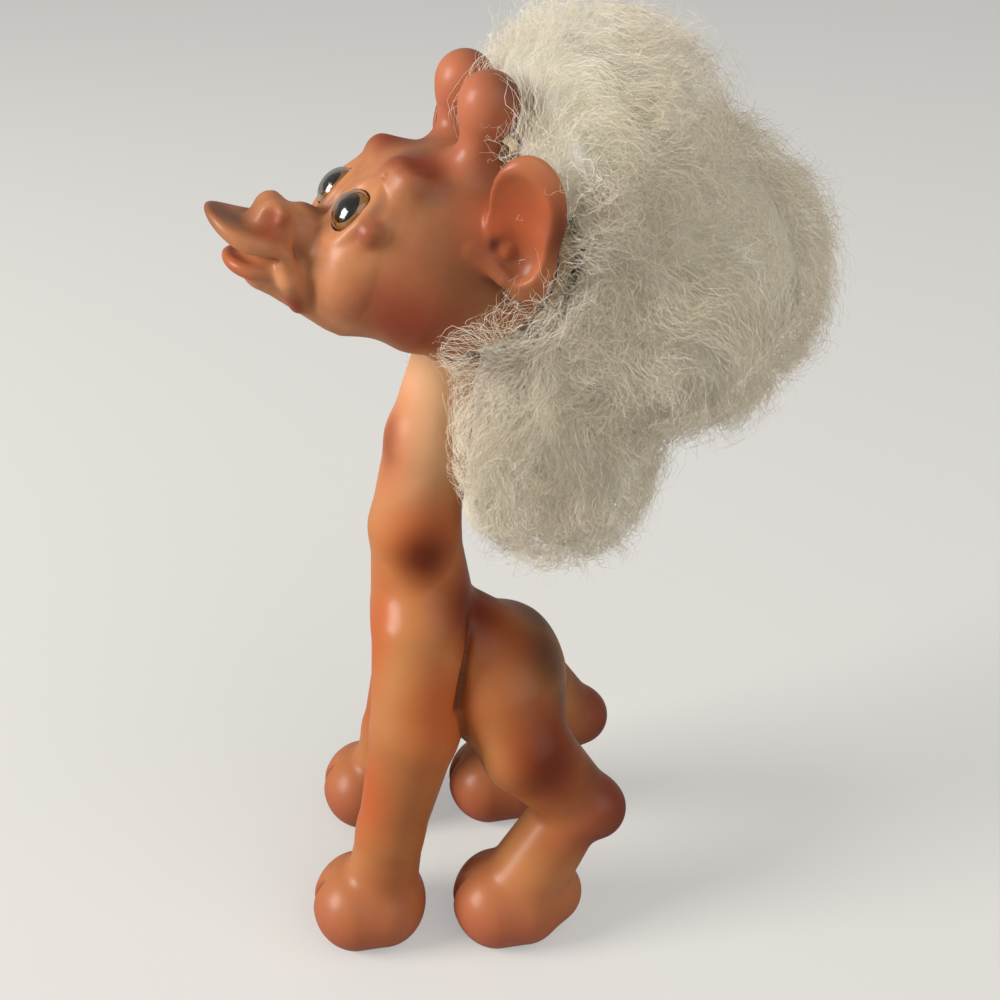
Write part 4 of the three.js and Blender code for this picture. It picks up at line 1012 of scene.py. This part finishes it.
def plain_material(name, colour, roughness, **sockets):
    """One colour with fine mottling in its depth and gloss."""
    material, tree, shader = new_material(name)
    mottle = noise(tree, add_node(tree, "ShaderNodeTexCoord").outputs["Object"], 900.0, 3.0)
    shade = mixed(tree, mottle, tuple(c * 0.75 for c in colour[:3]) + (1,), colour)
    rough = maths(tree, "MULTIPLY", ranged(tree, mottle, 0.0, 1.0, 0.8, 1.15), roughness)
    tree.links.new(shade, shader.inputs["Base Color"])
    tree.links.new(rough, shader.inputs["Roughness"])
    for key, value in sockets.items():
        shader.inputs[key.replace("_", " ")].default_value = value
    return material


amber = plain_material("eye_amber_fine", linear(232, 160, 62), 0.25)
pupil_black = plain_material("eye_black_fine", linear(6, 6, 8), 0.2)
dome = plain_material("eye_dome_clear", linear(250, 250, 250), 0.02, Transmission_Weight=1.0, IOR=1.49)
hide_leather = plain_material("mane_hide_leather", linear(208, 186, 150), 0.85)


def mohair_material(name, bright, deep, single_strands):
    """Cream mohair: single strands differ in tone, massed wool has tangled fibres and glows a little."""
    material, tree, shader = new_material(name)
    vector = own_coordinates(tree, *head_frame)
    colour = mixed(tree, ranged(tree, noise(tree, vector, 0.06, 5.0, 0.7), 0.35, 0.7), bright, deep)
    if single_strands:
        tone = add_node(tree, "ShaderNodeAttribute", attribute_name="tone").outputs["Fac"]
        colour = mixed(tree, ranged(tree, tone, 0.3, 1.0, 0.0, 0.8), colour, linear(255, 250, 236))
    else:
        fibres = add_node(tree, "ShaderNodeGroup", node_tree=tangled_fibres)
        tree.links.new(vector, fibres.inputs["Vector"])
        colour = mixed(tree, fibres.outputs["Mask"], colour, linear(255, 249, 230))
        bumped(tree, shader, fibres.outputs["Mask"], 0.7, 0.0008)
        shader.inputs["Subsurface Weight"].default_value = 0.5
        shader.inputs["Subsurface Radius"].default_value = (1, 0.85, 0.6)
        shader.inputs["Subsurface Scale"].default_value = 0.012
    tree.links.new(colour, shader.inputs["Base Color"])
    shader.inputs["Roughness"].default_value = 0.55
    shader.inputs["Specular IOR Level"].default_value = 0.35
    shader.inputs["Sheen Weight"].default_value = 0.8
    return material


# The wool core is a little darker and yellower than the strands: painted shade deep in the mane
wool_mohair = mohair_material("mohair_wool_cream", linear(252, 238, 208), linear(242, 224, 188), False)
strand_mohair = mohair_material("mohair_strand_cream", linear(254, 243, 218), linear(248, 230, 198), True)


def dress(made, material, body_name, slot, *nodes):
    """Gives a piece its material, the body that it rides and the nodes that it replaces; its slot is not
    used.
    """
    made.data.materials.clear()
    made.data.materials.append(material)
    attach(made, body_name)
    if nodes:
        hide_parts(*nodes)


dress(body, body_vinyl, "body", "body_vinyl", "body_shell")
dress(head, head_vinyl, "head", "head_vinyl", "head_shell")
for word, iris, pupil, lens in eyes:
    dress(iris, amber, "head", "eye_amber", "eye_iris_" + word)
    dress(pupil, pupil_black, "head", "eye_black", "eye_pupil_" + word)
    dress(lens, dome, "head", "eye_dome", "eye_lens_" + word)
dress(wool, wool_mohair, "head", "mohair", "mane_crown", "mane_back", "mane_nape")
for lock in coat:
    dress(lock, strand_mohair, "head", "mohair")
hide = frame["nodes"]["mane_hide"]
hide.data.materials.clear()
hide.data.materials.append(hide_leather)

# Camera at the photograph's place
CAMERA_SPOT = np.array([360, 5, 356.5])
YAW, PITCH, ROLL = math.radians(3.7), math.radians(29.2), math.radians(0.9)
FOCAL_PIXELS, FRAME_PIXELS = 1300, 1000
level_reach = math.cos(PITCH)
forward = Vector((-math.cos(YAW) * level_reach, math.sin(YAW) * level_reach, -math.sin(PITCH)))
level = Vector((math.sin(YAW), math.cos(YAW), 0))
upward = level.cross(forward)
across = level * math.cos(ROLL) + upward * math.sin(ROLL)
upright = upward * math.cos(ROLL) - level * math.sin(ROLL)
camera_data = bpy.data.cameras.new("photo_camera")
camera_data.lens = camera_data.sensor_width * FOCAL_PIXELS / FRAME_PIXELS
camera_data.clip_start = 0.01
camera = bpy.data.objects.new("photo_camera", camera_data)
camera.matrix_world = Matrix.Translation(Vector(CAMERA_SPOT + DOLL) * MM) @ Matrix(
    [[across[n], upright[n], -forward[n]] for n in range(3)],
).to_4x4()
bpy.context.scene.collection.objects.link(camera)
bpy.context.scene.camera = camera

# Pale floor and backdrop, both lighter to the camera than to the doll
FLOOR_GLOW, WORLD_LIGHT, WORLD_GLOW = 0.42, 0.36, 0.5
bpy.ops.mesh.primitive_plane_add(size=6)
floor = bpy.context.object
floor.name = "floor"
floor_material, floor_tree, floor_shader = new_material("floor_pale")
floor_shader.inputs["Base Color"].default_value = linear(172, 169, 162)
floor_shader.inputs["Roughness"].default_value = 0.9
seen = add_node(floor_tree, "ShaderNodeLightPath").outputs["Is Camera Ray"]
floor_glow = maths(floor_tree, "MULTIPLY", seen, FLOOR_GLOW)
floor_tree.links.new(floor_glow, floor_shader.inputs["Emission Strength"])
floor_shader.inputs["Emission Color"].default_value = linear(232, 232, 232)
floor.data.materials.append(floor_material)
world = bpy.data.worlds.new("studio")
bpy.context.scene.world = world
world.use_nodes = True
surround = world.node_tree
background = surround.nodes["Background"]
background.inputs["Color"].default_value = linear(236, 234, 230)
camera_ray = add_node(surround, "ShaderNodeLightPath").outputs["Is Camera Ray"]
strength = maths(surround, "MULTIPLY_ADD", camera_ray, WORLD_GLOW, WORLD_LIGHT)
surround.links.new(strength, background.inputs["Strength"])


def soft_light(name, spot, size, watts, colour):
    """A wide lamp that points at the doll's middle."""
    data = bpy.data.lights.new(name, "AREA")
    data.shape = "RECTANGLE"
    data.size, data.size_y = size
    data.energy = watts
    data.color = colour
    lamp = bpy.data.objects.new(name, data)
    lamp.location = spot
    lamp.rotation_euler = (LIGHT_AIM - Vector(spot)).to_track_quat("-Z", "Y").to_euler()
    bpy.context.scene.collection.objects.link(lamp)


LIGHT_AIM = Vector((0, 0, 0.15))
soft_light("window_light", spot=(0.42, -1.88, 1.02), size=(0.9, 1.1), watts=53, colour=(1, 0.985, 0.96))
soft_light("room_fill", spot=(1.4, 1.35, 1.65), size=(2.8, 2.8), watts=30, colour=(1, 0.985, 0.965))

bpy.context.scene.view_settings.view_transform = "Standard"
